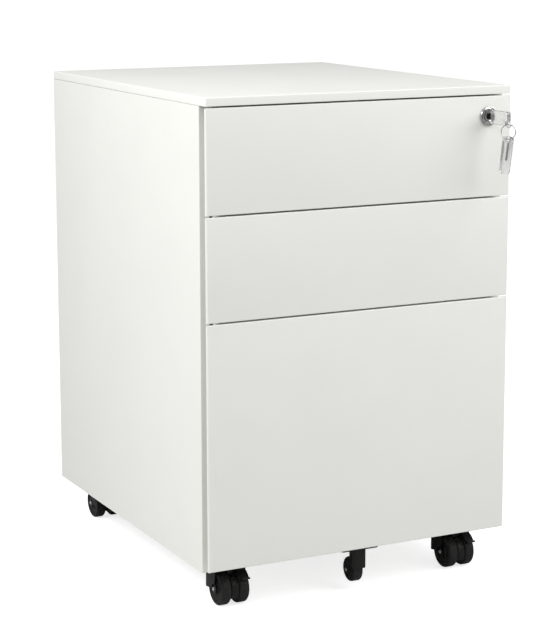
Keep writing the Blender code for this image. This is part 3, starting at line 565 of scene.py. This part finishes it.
def paint_finish(slot, colour, rough, grain, wear, shade):
    """Powder coat: cloudy white, orange peel over a slow swell, dulled where hands rub."""
    tree, shader = new_finish(slot, 0.0)
    skin = use_group(tree, grain, Grain=1100.0, Swell=5.0, Swell_Share=2.5)
    marks = use_group(tree, wear, Patch=7.0, Scratch=140.0)
    light = np.array(colour)
    tone = blended(tree, skin["Cloud"], opaque(light * shade), opaque(light))
    scratch = maths(tree, "MULTIPLY", marks["Scratch"], 0.35)
    tree.links.new(blended(tree, scratch, tone, opaque(light * 0.86)), shader.inputs["Base Color"])
    rub = spread(tree, marks["Rub"], 0.0, 1.0, rough, rough - 0.07)
    cloud = maths(tree, "MULTIPLY", skin["Cloud"], 0.05)
    tree.links.new(maths(tree, "ADD", rub, cloud), shader.inputs["Roughness"])
    raise_surface(tree, shader, skin["Height"], 0.22, 0.00012)


def metal_finish(slot, colour, rough, streaks, wear, depth, tint):
    """Plated steel: streaked roughness, blotched tone and light scratches."""
    tree, shader = new_finish(slot, 1.0)
    marks = use_group(tree, streaks, Lines=600.0, Blotch=45.0)
    rubs = use_group(tree, wear, Patch=60.0, Scratch=700.0)
    light = np.array(colour)
    tone = blended(tree, marks["Blotch"], opaque(light * tint), opaque(light))
    tree.links.new(tone, shader.inputs["Base Color"])
    lines = spread(tree, marks["Lines"], 0.0, 1.0, rough * 0.75, rough * 1.3)
    scratch = maths(tree, "MULTIPLY", rubs["Scratch"], 0.2)
    tree.links.new(maths(tree, "ADD", lines, scratch), shader.inputs["Roughness"])
    raise_surface(tree, shader, marks["Lines"], 0.25, depth)


def moulded_finish(slot, colour, rough, grain, wear, dust):
    """Black nylon: spark-eroded grain, dust in cloudy patches, scuffs that go grey."""
    tree, shader = new_finish(slot, 0.0, Specular_IOR_Level=0.22)
    skin = use_group(tree, grain, Grain=2200.0, Swell=60.0, Swell_Share=0.6)
    marks = use_group(tree, wear, Patch=70.0, Scratch=900.0)
    dark = np.array(colour)
    scuff = maths(tree, "ADD", maths(tree, "MULTIPLY", skin["Cloud"], 0.35), marks["Scratch"])
    worn = maths(tree, "MINIMUM", scuff, 1.0)
    tree.links.new(blended(tree, worn, opaque(dark), opaque(dark + dust)), shader.inputs["Base Color"])
    tree.links.new(spread(tree, skin["Cloud"], 0.0, 1.0, rough, rough + 0.14), shader.inputs["Roughness"])
    raise_surface(tree, shader, skin["Height"], 0.3, 0.00008)


def clear_finish(slot, colour, grain, wear):
    """Clear moulded plastic: faint haze and fine scratches over a plain transmission."""
    tree, shader = new_finish(slot, 0.0, Transmission_Weight=0.82, IOR=1.49)
    skin = use_group(tree, grain, Grain=900.0, Swell=120.0, Swell_Share=1.0)
    marks = use_group(tree, wear, Patch=120.0, Scratch=1200.0)
    light = np.array(colour)
    tone = blended(tree, skin["Cloud"], opaque(light * 0.93), opaque(light))
    tree.links.new(tone, shader.inputs["Base Color"])
    haze = spread(tree, skin["Cloud"], 0.0, 1.0, 0.10, 0.20)
    scratch = maths(tree, "MULTIPLY", marks["Scratch"], 0.25)
    tree.links.new(maths(tree, "ADD", haze, scratch), shader.inputs["Roughness"])
    raise_surface(tree, shader, skin["Height"], 0.15, 0.0001)


class CABINET_OT_finishes(bpy.types.Operator):
    """Make the shared effects and one material for each finish."""

    bl_idname = "cabinet.finishes"
    bl_label = "Finishes"

    def execute(self, context):
        look = context.scene.cabinet_finish
        grain, wear, streaks = surface_grain(), handling_wear(), drawn_streaks()
        paint_finish("case_paint", look.paint, look.paint_gloss, grain, wear, 0.985)
        paint_finish("front_paint", look.paint, look.paint_gloss - 0.03, grain, wear, 0.98)
        paint_finish("tray_paint", look.paint, look.paint_gloss + 0.04, grain, wear, 0.97)
        metal_finish("zinc_steel", look.zinc, 0.34, streaks, wear, 0.00004, 0.80)
        metal_finish("axle_steel", look.zinc, 0.24, streaks, wear, 0.00002, 0.88)
        metal_finish("lock_chrome", look.chrome, 0.10, streaks, wear, 0.00001, 0.85)
        metal_finish("ring_steel", look.chrome, 0.14, streaks, wear, 0.00001, 0.80)
        metal_finish("key_steel", look.dark_steel, 0.30, streaks, wear, 0.00003, 0.75)
        moulded_finish("caster_plastic", look.moulding, 0.38, grain, wear, 0.004)
        moulded_finish("wheel_plastic", look.tread, 0.46, grain, wear, 0.010)
        clear_finish("key_plastic", look.clear, grain, wear)
        slots = {s["node"]: s["material_slot"] for s in frame["record"]["subparts"]}
        for name, obj in NODES.items():
            for held in obj.material_slots:
                held.material = FINISHES[slots[name]]
        return {"FINISHED"}


# ---------------------------------------------------------------- case
def side_outline(sign, settings):
    """Plan of a side: post face, outer skin and rear flange; the post's return is a strip of its own."""
    line = [
        (sign * OPENING, POST_FRONT),
        (sign * HALF, POST_FRONT),
        (sign * HALF, BACK),
        (sign * OPENING, BACK),
    ]
    if sign < 0:
        line.reverse()
    return folded_sheet(line, settings.thickness, settings.bend, settings.steps)


def window_spans():
    """Heights of the lock bar's windows, from the bar's hooks and its travel, lowest first."""
    bar = NODES["lock_bar"].data
    heights = np.array([v.co.z for v in bar.vertices if v.co.x < OPENING - 0.001])
    levels = np.unique(np.round(heights, 4))
    travel = 0.009
    spans = zip(levels[::2], levels[1::2])
    return [(low - travel - WINDOW_MARGIN, high + WINDOW_MARGIN) for low, high in spans]


def post_return(sign, low, high, settings):
    """The strip that turns back from the post face; on the lock's side it is cut through for the bar."""
    front = POST_FRONT + settings.thickness
    back = POST_FRONT + POST_RETURN
    inner, outer = sorted((sign * OPENING, sign * (OPENING + settings.thickness)))
    strip = [(inner, front), (outer, front), (outer, back), (inner, back)]
    if sign < 0:
        return [prism(np.array(strip), "XY", low, high)]
    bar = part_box("lock_bar")
    near, far = bar[0].y - WINDOW_MARGIN, bar[1].y + WINDOW_MARGIN
    parts, start = [], low
    for bottom, top in window_spans():
        parts.append(prism(np.array(strip), "XY", start, bottom))
        for stub in (
            [(inner, front), (outer, front), (outer, near), (inner, near)],
            [(inner, far), (outer, far), (outer, back), (inner, back)],
        ):
            parts.append(prism(np.array(stub), "XY", bottom, top))
        start = top
    parts.append(prism(np.array(strip), "XY", start, high))
    return parts


def cap_parts(settings):
    """The top cap: inside wall, lower lip and rounded top edge, each ring the plan drawn in by its inset."""
    plan = rounded_loop(
        [(-HALF, FACE), (HALF, FACE), (HALF, BACK), (-HALF, BACK)], 0.0022, settings.steps
    )
    low, high = CAP[0].z, CAP[1].z
    edge, wall = settings.cap_edge, settings.thickness
    swing = np.linspace(0, math.pi / 2, settings.steps + 1)
    insets = np.concatenate(([wall, wall, wall * 0.25, 0.0], edge * (1 - np.cos(swing))))
    rises = high - edge + edge * np.sin(swing)
    heights = np.concatenate(([high - wall, low, low, low + wall * 0.25], rises))
    return [loft([lifted(drawn_in(plan, i), "XY", z) for i, z in zip(insets, heights)])]


class CABINET_OT_case(bpy.types.Operator):
    """Fold the two sides and press the top cap."""

    bl_idname = "cabinet.case"
    bl_label = "Case"

    def execute(self, context):
        settings = context.scene.cabinet_sheet
        for side, sign in SIDES:
            low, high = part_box(f"{side}_side_panel")
            parts = [prism(side_outline(sign, settings), "XY", low.z, high.z)]
            parts += post_return(sign, low.z, high.z, settings)
            place(f"{side}_side", parts, "case_paint", "cabinet", f"{side}_side_panel")
        place("top_cap", cap_parts(settings), "case_paint", "cabinet", "top_panel")
        return {"FINISHED"}


# ---------------------------------------------------------------- drawers
def front_parts(drawer, settings):
    """A drawer front: a face folded back at top and bottom, with a rolled edge at each side."""
    low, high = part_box(f"{drawer}_drawer_front")
    roll = 0.002
    lip = FACE + 2 * roll
    wall = OPENING - 0.00375
    flat = HALF - roll
    sheet = settings.thickness

    def channel(depth, left, right):
        line = [
            (FACE + depth, high.z),
            (FACE, high.z),
            (FACE, low.z),
            (FACE + depth, low.z),
        ]
        outline = folded_sheet(line, sheet, settings.face_bend, settings.steps)
        return prism(outline, "YZ", left, right)

    parts = [channel(high.y - FACE - 0.0005, -wall, wall)]
    for sign in (-1, 1):
        parts.append(channel(2 * roll - sheet - 0.0002, *sorted((sign * wall, sign * flat))))
        line = [
            (sign * flat, FACE),
            (sign * HALF, FACE),
            (sign * HALF, lip),
            (sign * wall, lip),
            (sign * wall, high.y),
            (sign * (wall - 0.018), high.y),
        ]
        outline = folded_sheet(line, sheet * sign, (roll, roll, 0.0010, 0.0012), settings.steps)
        parts.append(prism(outline, "XY", low.z + 0.0002, high.z - 0.0002))
    return parts


def tray_parts(drawer, settings):
    """A tray: floor and hemmed sides in one folded sheet, two end walls, and the catch for the lock bar."""
    low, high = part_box(f"{drawer}_drawer_tray")
    half = -low.x
    hem = 0.009 if drawer == "file" else 0.005
    drop = 0.004
    sheet = settings.thickness
    line = [
        (-half + hem, high.z - drop),
        (-half + hem, high.z),
        (-half, high.z),
        (-half, low.z),
        (half, low.z),
        (half, high.z),
        (half - hem, high.z),
        (half - hem, high.z - drop),
    ]
    parts = [prism(folded_sheet(line, sheet, settings.bend, settings.steps), "XZ", low.y, high.y)]
    inside = half - sheet * 1.2
    foot, top = low.z + sheet, high.z - sheet
    wall = [(-inside, foot), (inside, foot), (inside, top), (-inside, top)]
    outline = rounded_loop(wall, 0.002, settings.steps)
    for y in (low.y + 0.0003, high.y - 0.0003 - sheet):
        parts.append(soft_slab(outline, "XZ", y, y + sheet, 0.0003, 2))
    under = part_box(f"{drawer}_drawer_front")[0].z + 0.066
    over = under + 0.008
    catch = [(half, under), (high.x, under), (high.x, over), (half, over)]
    y = POST_FRONT + 0.0115
    parts.append(soft_slab(rounded_loop(catch, 0.0012, 3), "XZ", y, y + 0.002, 0.0003, 2))
    return parts


class CABINET_OT_drawers(bpy.types.Operator):
    """Press the drawer fronts and fold the trays."""

    bl_idname = "cabinet.drawers"
    bl_label = "Drawers"

    def execute(self, context):
        settings = context.scene.cabinet_sheet
        for drawer in DRAWERS:
            body = f"{drawer}_drawer"
            front = front_parts(drawer, settings)
            place(f"{drawer}_front", front, "front_paint", body, f"{drawer}_drawer_front")
            tray = tray_parts(drawer, settings)
            place(f"{drawer}_tray", tray, "tray_paint", body, f"{drawer}_drawer_tray")
        return {"FINISHED"}


# ---------------------------------------------------------------- lock and keys
def ahead(profile):
    """A lock profile written as (radius, height out of the front), turned to run along Y."""
    return [(r, -h) for r, h in profile]


def rose_parts():
    """Stepped rose with a groove, and the barrel behind it."""
    profile = [
        (0.0067, 0.0029),
        (0.0088, 0.0031),
        (0.0093, 0.0027),
        (0.0094, 0.0014),
        (0.0100, 0.0012),
        (0.0108, 0.0024),
        (0.0115, 0.0022),
        (0.0119, 0.0016),
        (0.0120, 0.0004),
        (BARREL_RADIUS, 0.0003),
        (BARREL_RADIUS, FACE - ROSE[1].y),
        (0.0067, FACE - ROSE[1].y),
    ]
    return [ring_turned(ahead(profile), "Y", (LOCK_X, FACE, LOCK_Z), 64)]


def plug_parts(settings):
    """A plug whose round face runs in to a keyway: circle rings, then slot rings at the same angles."""
    count = 48
    angle = np.arange(count) * math.tau / count
    circle = np.column_stack((np.cos(angle), np.sin(angle)))
    half = np.array((settings.slot_half, 0.0041))
    slot = circle * np.min(half / np.maximum(np.abs(circle), 1e-6), axis=1)[:, None]
    centre = np.array((LOCK_X, LOCK_Z))
    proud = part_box("lock_plug")[0].y
    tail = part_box("lock_plug")[1].y
    steps = (
        (circle * PLUG_RADIUS, tail),
        (circle * PLUG_RADIUS, proud + 0.0006),
        (circle * 0.0057, proud),
        (slot * 1.25, proud),
        (slot, proud + 0.0006),
        (slot, proud + 0.012),
    )
    return [loft([lifted(centre + loop, "XZ", y) for loop, y in steps])]


def three_corners(half, length):
    """The bow's outline up to its last corner: far upper, near upper and near lower."""
    r = BOW_CORNER
    return np.vstack(
        (
            arc((length - r, half - r), r, 0, 90, 6),
            arc((r, half - r), r, 90, 180, 6),
            arc((r, r - half), r, 180, 270, 6),
        )
    )


def bow_outline(width, length, eye):
    """A rounded bow along its own length, with the corner at the eye bitten out by a circle."""
    half = width / 2
    over = math.sqrt(EYE_BITE**2 - (half - abs(eye[1])) ** 2)
    rise = math.sqrt(EYE_BITE**2 - (length - eye[0]) ** 2)
    start = math.degrees(math.atan2(-(half - abs(eye[1])), -over))
    end = math.degrees(math.atan2(rise, length - eye[0]))
    return np.vstack((three_corners(half, length), arc(eye, EYE_BITE, start % 360, end, 9)))


def notched_outline(width, length, eye):
    """A rounded bow along its own length, with a round notch in the middle of its far end."""
    half = width / 2
    over = math.sqrt(EYE_BITE**2 - (length - eye[0]) ** 2)
    turn = math.degrees(math.atan2(over, length - eye[0]))
    last = arc((length - BOW_CORNER, BOW_CORNER - half), BOW_CORNER, 270, 360, 6)
    notch = arc(eye, EYE_BITE, 360 - turn, turn, 15)
    return np.vstack((three_corners(half, length), last, notch))


def bow_parts(outline, eye, root, along, at, plane, settings):
    """A bow and its eye lug.

    along is the bow's own way in the plane, across a quarter turn to its left, and at the middle depth.
    """
    across = np.array((-along[1], along[0]))
    half = BOW_THICKNESS / 2
    mapped = root + outline[:, :1] * along + outline[:, 1:] * across
    eye_at = root + eye[0] * along + eye[1] * across
    parts = [soft_slab(mapped, plane, at - half, at + half, settings.bow_edge)]
    axis = {"YZ": "X", "XZ": "Y"}[plane]
    first, second, third = PLANES[plane]
    centre = [0, 0, 0]
    centre[first], centre[second], centre[third] = eye_at[0], eye_at[1], at
    rim = [
        (EYE_RADIUS, -0.0006),
        (0.0027, -0.0009),
        (0.0040, -0.0009),
        (0.0040, 0.0009),
        (0.0027, 0.0009),
        (EYE_RADIUS, 0.0006),
    ]
    parts.append(ring_turned(rim, axis, centre, 32))
    return parts


def ring_parts(settings):
    """Two touching turns of wire: radius R about the ring's middle, shifted along its axis with the angle."""
    low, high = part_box("key_ring")
    middle = np.array((low + high) / 2)
    radius = (high.z - low.z) / 2 - settings.wire
    turns, steps, sides = 1.92, 128, 10
    angle = np.linspace(-math.pi * turns, math.pi * turns, steps)
    around = np.arange(sides) * math.tau / sides
    flat = np.array((math.cos(RING_TURN), -math.sin(RING_TURN), 0))
    up = np.array((0, 0, 1.0))
    along = np.cross(flat, up)
    out = np.sin(angle)[:, None] * flat + np.cos(angle)[:, None] * up
    shift = (angle / (math.pi * turns) * settings.wire * 1.02)[:, None]
    path = middle + out * radius + along * shift
    rings = (
        path[:, None, :]
        + settings.wire * np.cos(around)[None, :, None] * out[:, None, :]
        + settings.wire * np.sin(around)[None, :, None] * along
    )
    return [loft(rings)]


class CABINET_OT_lock(bpy.types.Operator):
    """Turn the lock's rose and plug, and mould the keys and their ring."""

    bl_idname = "cabinet.lock"
    bl_label = "Lock and keys"

    def execute(self, context):
        settings = context.scene.cabinet_lock
        place("lock_rose", rose_parts(), "lock_chrome", "top_drawer", "lock_housing")
        place("lock_face", plug_parts(settings), "lock_chrome", "lock_plug", "lock_plug")
        length = settings.bow_length
        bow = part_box("key_bow")
        eye = np.array((length - 0.0012, -0.0065))
        outline = bow_outline(settings.bow_width, length, eye) * (1, -1)
        eye = eye * (1, -1)
        root = np.array((bow[1].y, LOCK_Z))
        parts = bow_parts(outline, eye, root, np.array((-1.0, 0)), LOCK_X, "YZ", settings)
        place("key_grip", parts, "key_plastic", "key_bow", "key_bow")
        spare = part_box("spare_key_bow")
        length = settings.spare_length
        eye = np.array((length - 0.003, 0))
        outline = notched_outline(settings.spare_width, length, eye)
        tilt = math.radians(settings.spare_tilt)
        along = np.array((math.sin(tilt), math.cos(tilt)))
        hole = np.array((LOCK_X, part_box("key_ring")[0].z + settings.wire))
        middle = (spare[0].y + spare[1].y) / 2
        parts = bow_parts(outline, eye, hole - along * eye[0], along, middle, "XZ", settings)
        place("spare_key_grip", parts, "key_plastic", "spare_key", "spare_key_bow")
        place("split_ring", ring_parts(settings), "ring_steel", "key_ring", "key_ring")
        return {"FINISHED"}


# ---------------------------------------------------------------- casters
def wheel_parts(box, steps):
    """A hard wheel: rounded tread, dished faces and a raised hub, turned about its axle."""
    low, high = box
    centre = np.array((low + high) / 2)
    radius, half = (high.z - low.z) / 2, (high.x - low.x) / 2
    side = [
        (0.145, 0.93),
        (0.36, 0.93),
        (0.40, 0.80),
        (0.44, 0.72),
        (0.74, 0.72),
        (0.78, 0.86),
        (0.82, 0.97),
        (0.86, 1.0),
    ]
    swing = np.radians(np.linspace(8, 90, 7))
    edge = 0.0030 if radius > 0.018 else 0.0025
    tread = np.column_stack((radius - edge * (1 - np.sin(swing)), half - edge * (1 - np.cos(swing))))
    face = np.array(side) * (radius, half)
    face[-1, 0] = radius - edge
    outer = np.vstack((face, tread))
    profile = np.vstack((outer, (outer * (1, -1))[::-1]))
    return [ring_turned(profile, "X", centre, steps)]


def hood_back(radius, rise, shoulder, start, end):
    """Side view of the hood: up its stem side, round the shoulder, along the top and down to the crown."""
    return np.vstack(
        (
            arc((0, 0), radius, start, 0, 5),
            arc((radius - shoulder, rise - shoulder), shoulder, 8, 90, 7),
            arc((0.0108, rise - 0.003), 0.003, 90, 126, 5),
            arc((0, 0), radius, end - 12, end, 4),
        )
    )


def hood_parts(caster, settings):
    """Twin-wheel hood: two thin cheeks, the roof between them, a web between the wheels and hub rims."""
    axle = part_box(f"{caster}_caster_axle")
    centre = np.array((axle[0] + axle[1]) / 2)
    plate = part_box(f"{caster}_caster_plate")
    lead = math.copysign(1, centre[1] - (plate[0].y + plate[1].y) / 2)
    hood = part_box(f"{caster}_caster_hood")
    half = (hood[1].x - hood[0].x) / 2
    rise = hood[1].z - centre[2]
    radius, roof, cheek = HOOD_RADIUS, 0.0014, settings.cheek

    def seen(loop, low, high, edge):
        laid = np.column_stack((centre[1] - lead * loop[:, 0], centre[2] + loop[:, 1]))
        return soft_slab(laid, "YZ", centre[0] + low, centre[0] + high, edge, 4)

    back = hood_back(radius, rise, settings.shoulder, -8, 100)
    hub = arc((0, 0), HUB_RADIUS, 100, -8, 9)
    roof_loop = np.vstack((back, arc((0, 0), radius - roof, 100, -8, 16)))
    parts = [seen(roof_loop, cheek - half, half - cheek, 0.0001)]
    for sign in (-1, 1):
        near, far = sorted((sign * (half - cheek), sign * half))
        parts.append(seen(np.vstack((back, hub)), near, far, cheek * 0.42))
        rim = [
            (HUB_RADIUS, -0.0006),
            (0.0064, -0.0006),
            (0.0064, 0.0002),
            (0.0058, 0.0006),
            (HUB_RADIUS, 0.0006),
        ]
        ring = [(r, h * sign) for r, h in rim]
        parts.append(ring_turned(ring, "X", centre + np.array((sign * (half - 0.0006), 0, 0)), 40))
    drop, inner = 0.010, 0.0185
    foot = math.degrees(math.asin(drop / radius))
    nose = arc((0, 0), inner, 104, 180 + math.degrees(math.asin(drop / inner)), 14)
    web = np.vstack((hood_back(radius - 0.0004, rise - 0.0004, settings.shoulder, -foot, 100), nose))
    parts.append(seen(web, -0.0046, 0.0046, 0.0006))
    return parts, centre, lead


def lever_parts(caster, centre, lead):
    """A brake lever: a band wrapped over the wheel's leading side, ending in a ledge for the toe."""
    low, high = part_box(f"{caster}_brake_lever")
    middle, half = (low.x + high.x) / 2 - centre[0], (high.x - low.x) / 2
    inner, outer = 0.0212, 0.0228
    band = np.array([(-half, inner), (half, inner), (half, outer), (-half, outer)]) + (middle, 0)
    parts = [wrapped(band, centre, lead, math.radians(104), math.radians(146), 10)]
    ledge = arc((0, 0), inner, 141, 147, 3)
    tip = arc((0, 0), 0.0262, 149, 144, 3)
    loop = np.vstack((ledge, tip))
    loop = np.column_stack((centre[1] - lead * loop[:, 0], centre[2] + loop[:, 1]))
    parts.append(soft_slab(loop, "YZ", low.x, high.x, 0.0004, 2))
    return parts


def axle_parts(box, steps):
    """A short axle with chamfered ends."""
    low, high = box
    centre = np.array((low + high) / 2)
    radius, half = (high.z - low.z) / 2, (high.x - low.x) / 2
    bevel = 0.0005
    profile = [
        (radius - bevel, -half),
        (radius, -half + bevel),
        (radius, half - bevel),
        (radius - bevel, half),
    ]
    return [solid_turned(profile, "X", centre, steps)]


def tip_bracket_parts():
    """The anti-tip wheel's bracket: plate, folded strap with bevelled corners, and arms down to the axle."""
    low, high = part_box("tip_wheel_bracket")
    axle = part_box("tip_wheel_axle")
    centre = np.array((axle[0] + axle[1]) / 2)
    half, wall, nose, bevel = 0.0095, 0.0016, 0.0045, 0.003
    front, back = low.y + 0.002, low.y + 0.011
    plate = rounded_loop([(low.x, low.y), (high.x, low.y), (high.x, high.y), (low.x, high.y)], 0.004, 5)
    parts = [soft_slab(plate, "XY", high.z - wall, high.z, 0.0005, 3)]
    line = [
        (-half, back),
        (-half, front + bevel),
        (-half + bevel, front),
        (half - bevel, front),
        (half, front + bevel),
        (half, back),
    ]
    strap = folded_sheet(line, wall, 0.0010, 3)
    knee = centre[2] + nose
    parts.append(prism(strap, "XY", knee, high.z - wall / 2))
    arm = np.vstack(
        (
            [(front + 0.0032, knee + 0.0002)],
            arc((centre[1], centre[2]), nose, 200, 370, 14),
            [(back, knee + nose)],
        )
    )
    for sign in (-1, 1):
        near, far = sorted((sign * (half - wall), sign * half))
        parts.append(soft_slab(arm, "YZ", near, far, 0.0003, 2))
    return parts


class CABINET_OT_casters(bpy.types.Operator):
    """Mould the hoods, wheels and brake levers, and the anti-tip wheel."""

    bl_idname = "cabinet.casters"
    bl_label = "Casters"

    def execute(self, context):
        settings = context.scene.cabinet_caster
        for caster in CASTERS:
            body = f"{caster}_caster"
            parts, centre, lead = hood_parts(caster, settings)
            place(f"{caster}_hood", parts, "caster_plastic", body, f"{caster}_caster_hood")
            axle = f"{caster}_caster_axle"
            place(f"{caster}_axle_pin", axle_parts(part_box(axle), 40), "axle_steel", body, axle)
            for side, _ in SIDES:
                node = f"{caster}_wheel_{side}"
                tread = wheel_parts(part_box(node), settings.steps)
                place(f"{node}_tread", tread, "wheel_plastic", node, node)
            if lead < 0:
                lever = f"{caster}_brake_lever"
                tab = lever_parts(caster, centre, lead)
                place(f"{lever}_tab", tab, "caster_plastic", lever, lever)
        place("tip_bracket", tip_bracket_parts(), "caster_plastic", "file_drawer", "tip_wheel_bracket")
        axle = axle_parts(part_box("tip_wheel_axle"), 32)
        place("tip_axle_pin", axle, "axle_steel", "file_drawer", "tip_wheel_axle")
        tread = wheel_parts(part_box("tip_wheel"), settings.steps)
        place("tip_wheel_tread", tread, "wheel_plastic", "tip_wheel", "tip_wheel")
        return {"FINISHED"}


# ---------------------------------------------------------------- stage
def soft_light(name, at, towards, size, power):
    """A square area light aimed at a point."""
    lamp = bpy.data.lights.new(name, "AREA")
    lamp.size = size
    lamp.energy = power
    obj = bpy.data.objects.new(name, lamp)
    obj.location = at
    aim = np.array(towards) - np.array(at)
    flat = math.hypot(aim[0], aim[1])
    obj.rotation_euler = (math.atan2(flat, -aim[2]), 0, math.atan2(-aim[0], aim[1]))
    bpy.context.scene.collection.objects.link(obj)


def floor_finish(colour, glow):
    """Pale seamless floor with a barely seen mottle."""
    material = bpy.data.materials.new("studio_floor")
    material.use_nodes = True
    tree = material.node_tree
    shader = tree.nodes["Principled BSDF"]
    shader.inputs["Roughness"].default_value = 0.85
    shader.inputs["Emission Color"].default_value = (1, 1, 1, 1)
    seen = add(tree, "LightPath").outputs["Is Camera Ray"]
    tree.links.new(maths(tree, "MULTIPLY", seen, glow), shader.inputs["Emission Strength"])
    mottle = scaled_noise(tree, add(tree, "TexCoord").outputs["Object"], 2.5, 3.0)
    light = np.array(colour)
    tone = blended(tree, mottle, opaque(light * 0.995), opaque(light))
    tree.links.new(tone, shader.inputs["Base Color"])
    return material


class CABINET_OT_stage(bpy.types.Operator):
    """Lay the floor, light it softly and set the camera."""

    bl_idname = "cabinet.stage"
    bl_label = "Stage"

    def execute(self, context):
        scene = context.scene
        settings = scene.cabinet_stage
        mesh = bpy.data.meshes.new("floor")
        reach = 60.0
        corners = [(-reach, -reach, 0), (reach, -reach, 0), (reach, reach, 0), (-reach, reach, 0)]
        mesh.from_pydata(corners, [], [(0, 1, 2, 3)])
        mesh.materials.append(floor_finish(settings.floor, settings.glow))
        floor = bpy.data.objects.new("floor", mesh)
        scene.collection.objects.link(floor)
        world = bpy.data.worlds.new("studio")
        world.use_nodes = True
        sky = world.node_tree.nodes["Background"]
        sky.inputs["Color"].default_value = (1, 1, 1, 1)
        seen = add(world.node_tree, "LightPath").outputs["Is Camera Ray"]
        lit = spread(world.node_tree, seen, 0.0, 1.0, settings.surround, 1.0)
        world.node_tree.links.new(lit, sky.inputs["Strength"])
        scene.world = world
        target = (0.0, 0.0, 0.35)
        soft_light("left_softbox", (-1.45, -0.42, 1.5), target, 0.6, 26.3)
        soft_light("right_softbox", (1.0, -1.15, 1.35), target, 1.3, 19.0)
        camera = bpy.data.cameras.new("camera")
        camera.lens = settings.lens
        camera.shift_y = settings.shift
        camera.clip_end = 120
        eye = bpy.data.objects.new("camera", camera)
        eye.location = (settings.to_side, FACE - settings.from_front, settings.height)
        level = Euler((math.pi / 2 - settings.pitch, 0, -settings.turn), "XYZ").to_matrix()
        eye.rotation_euler = (level @ Euler((0, 0, settings.roll)).to_matrix()).to_euler()
        scene.collection.objects.link(eye)
        scene.camera = eye
        scene.view_settings.view_transform = "Standard"
        return {"FINISHED"}


# ---------------------------------------------------------------- add-on
STEPS = (
    CABINET_OT_finishes,
    CABINET_OT_case,
    CABINET_OT_drawers,
    CABINET_OT_lock,
    CABINET_OT_casters,
    CABINET_OT_stage,
)


class CABINET_PT_panel(bpy.types.Panel):
    """Settings and steps of the cabinet's looks."""

    bl_idname = "CABINET_PT_panel"
    bl_label = "Filing cabinet"
    bl_space_type = "VIEW_3D"
    bl_region_type = "UI"
    bl_category = "Cabinet"

    def draw(self, context):
        for key, group in SETTINGS.items():
            box = self.layout.box()
            for name in group.__annotations__:
                box.prop(getattr(context.scene, key), name)
        for step in STEPS:
            self.layout.operator(step.bl_idname)


CLASSES = (*SETTINGS.values(), *STEPS, CABINET_PT_panel)


def register():
    """Registers the settings, steps and panel, and hangs the settings on the scene."""
    for item in CLASSES:
        bpy.utils.register_class(item)
    for key, group in SETTINGS.items():
        setattr(bpy.types.Scene, key, PointerProperty(type=group))


def unregister():
    """Takes away all that register made."""
    for key in SETTINGS:
        delattr(bpy.types.Scene, key)
    for item in reversed(CLASSES):
        bpy.utils.unregister_class(item)


def main():
    """Runs every step."""
    register()
    bpy.ops.cabinet.finishes()
    bpy.ops.cabinet.case()
    bpy.ops.cabinet.drawers()
    bpy.ops.cabinet.lock()
    bpy.ops.cabinet.casters()
    bpy.ops.cabinet.stage()


if __name__ == "__main__":
    main()
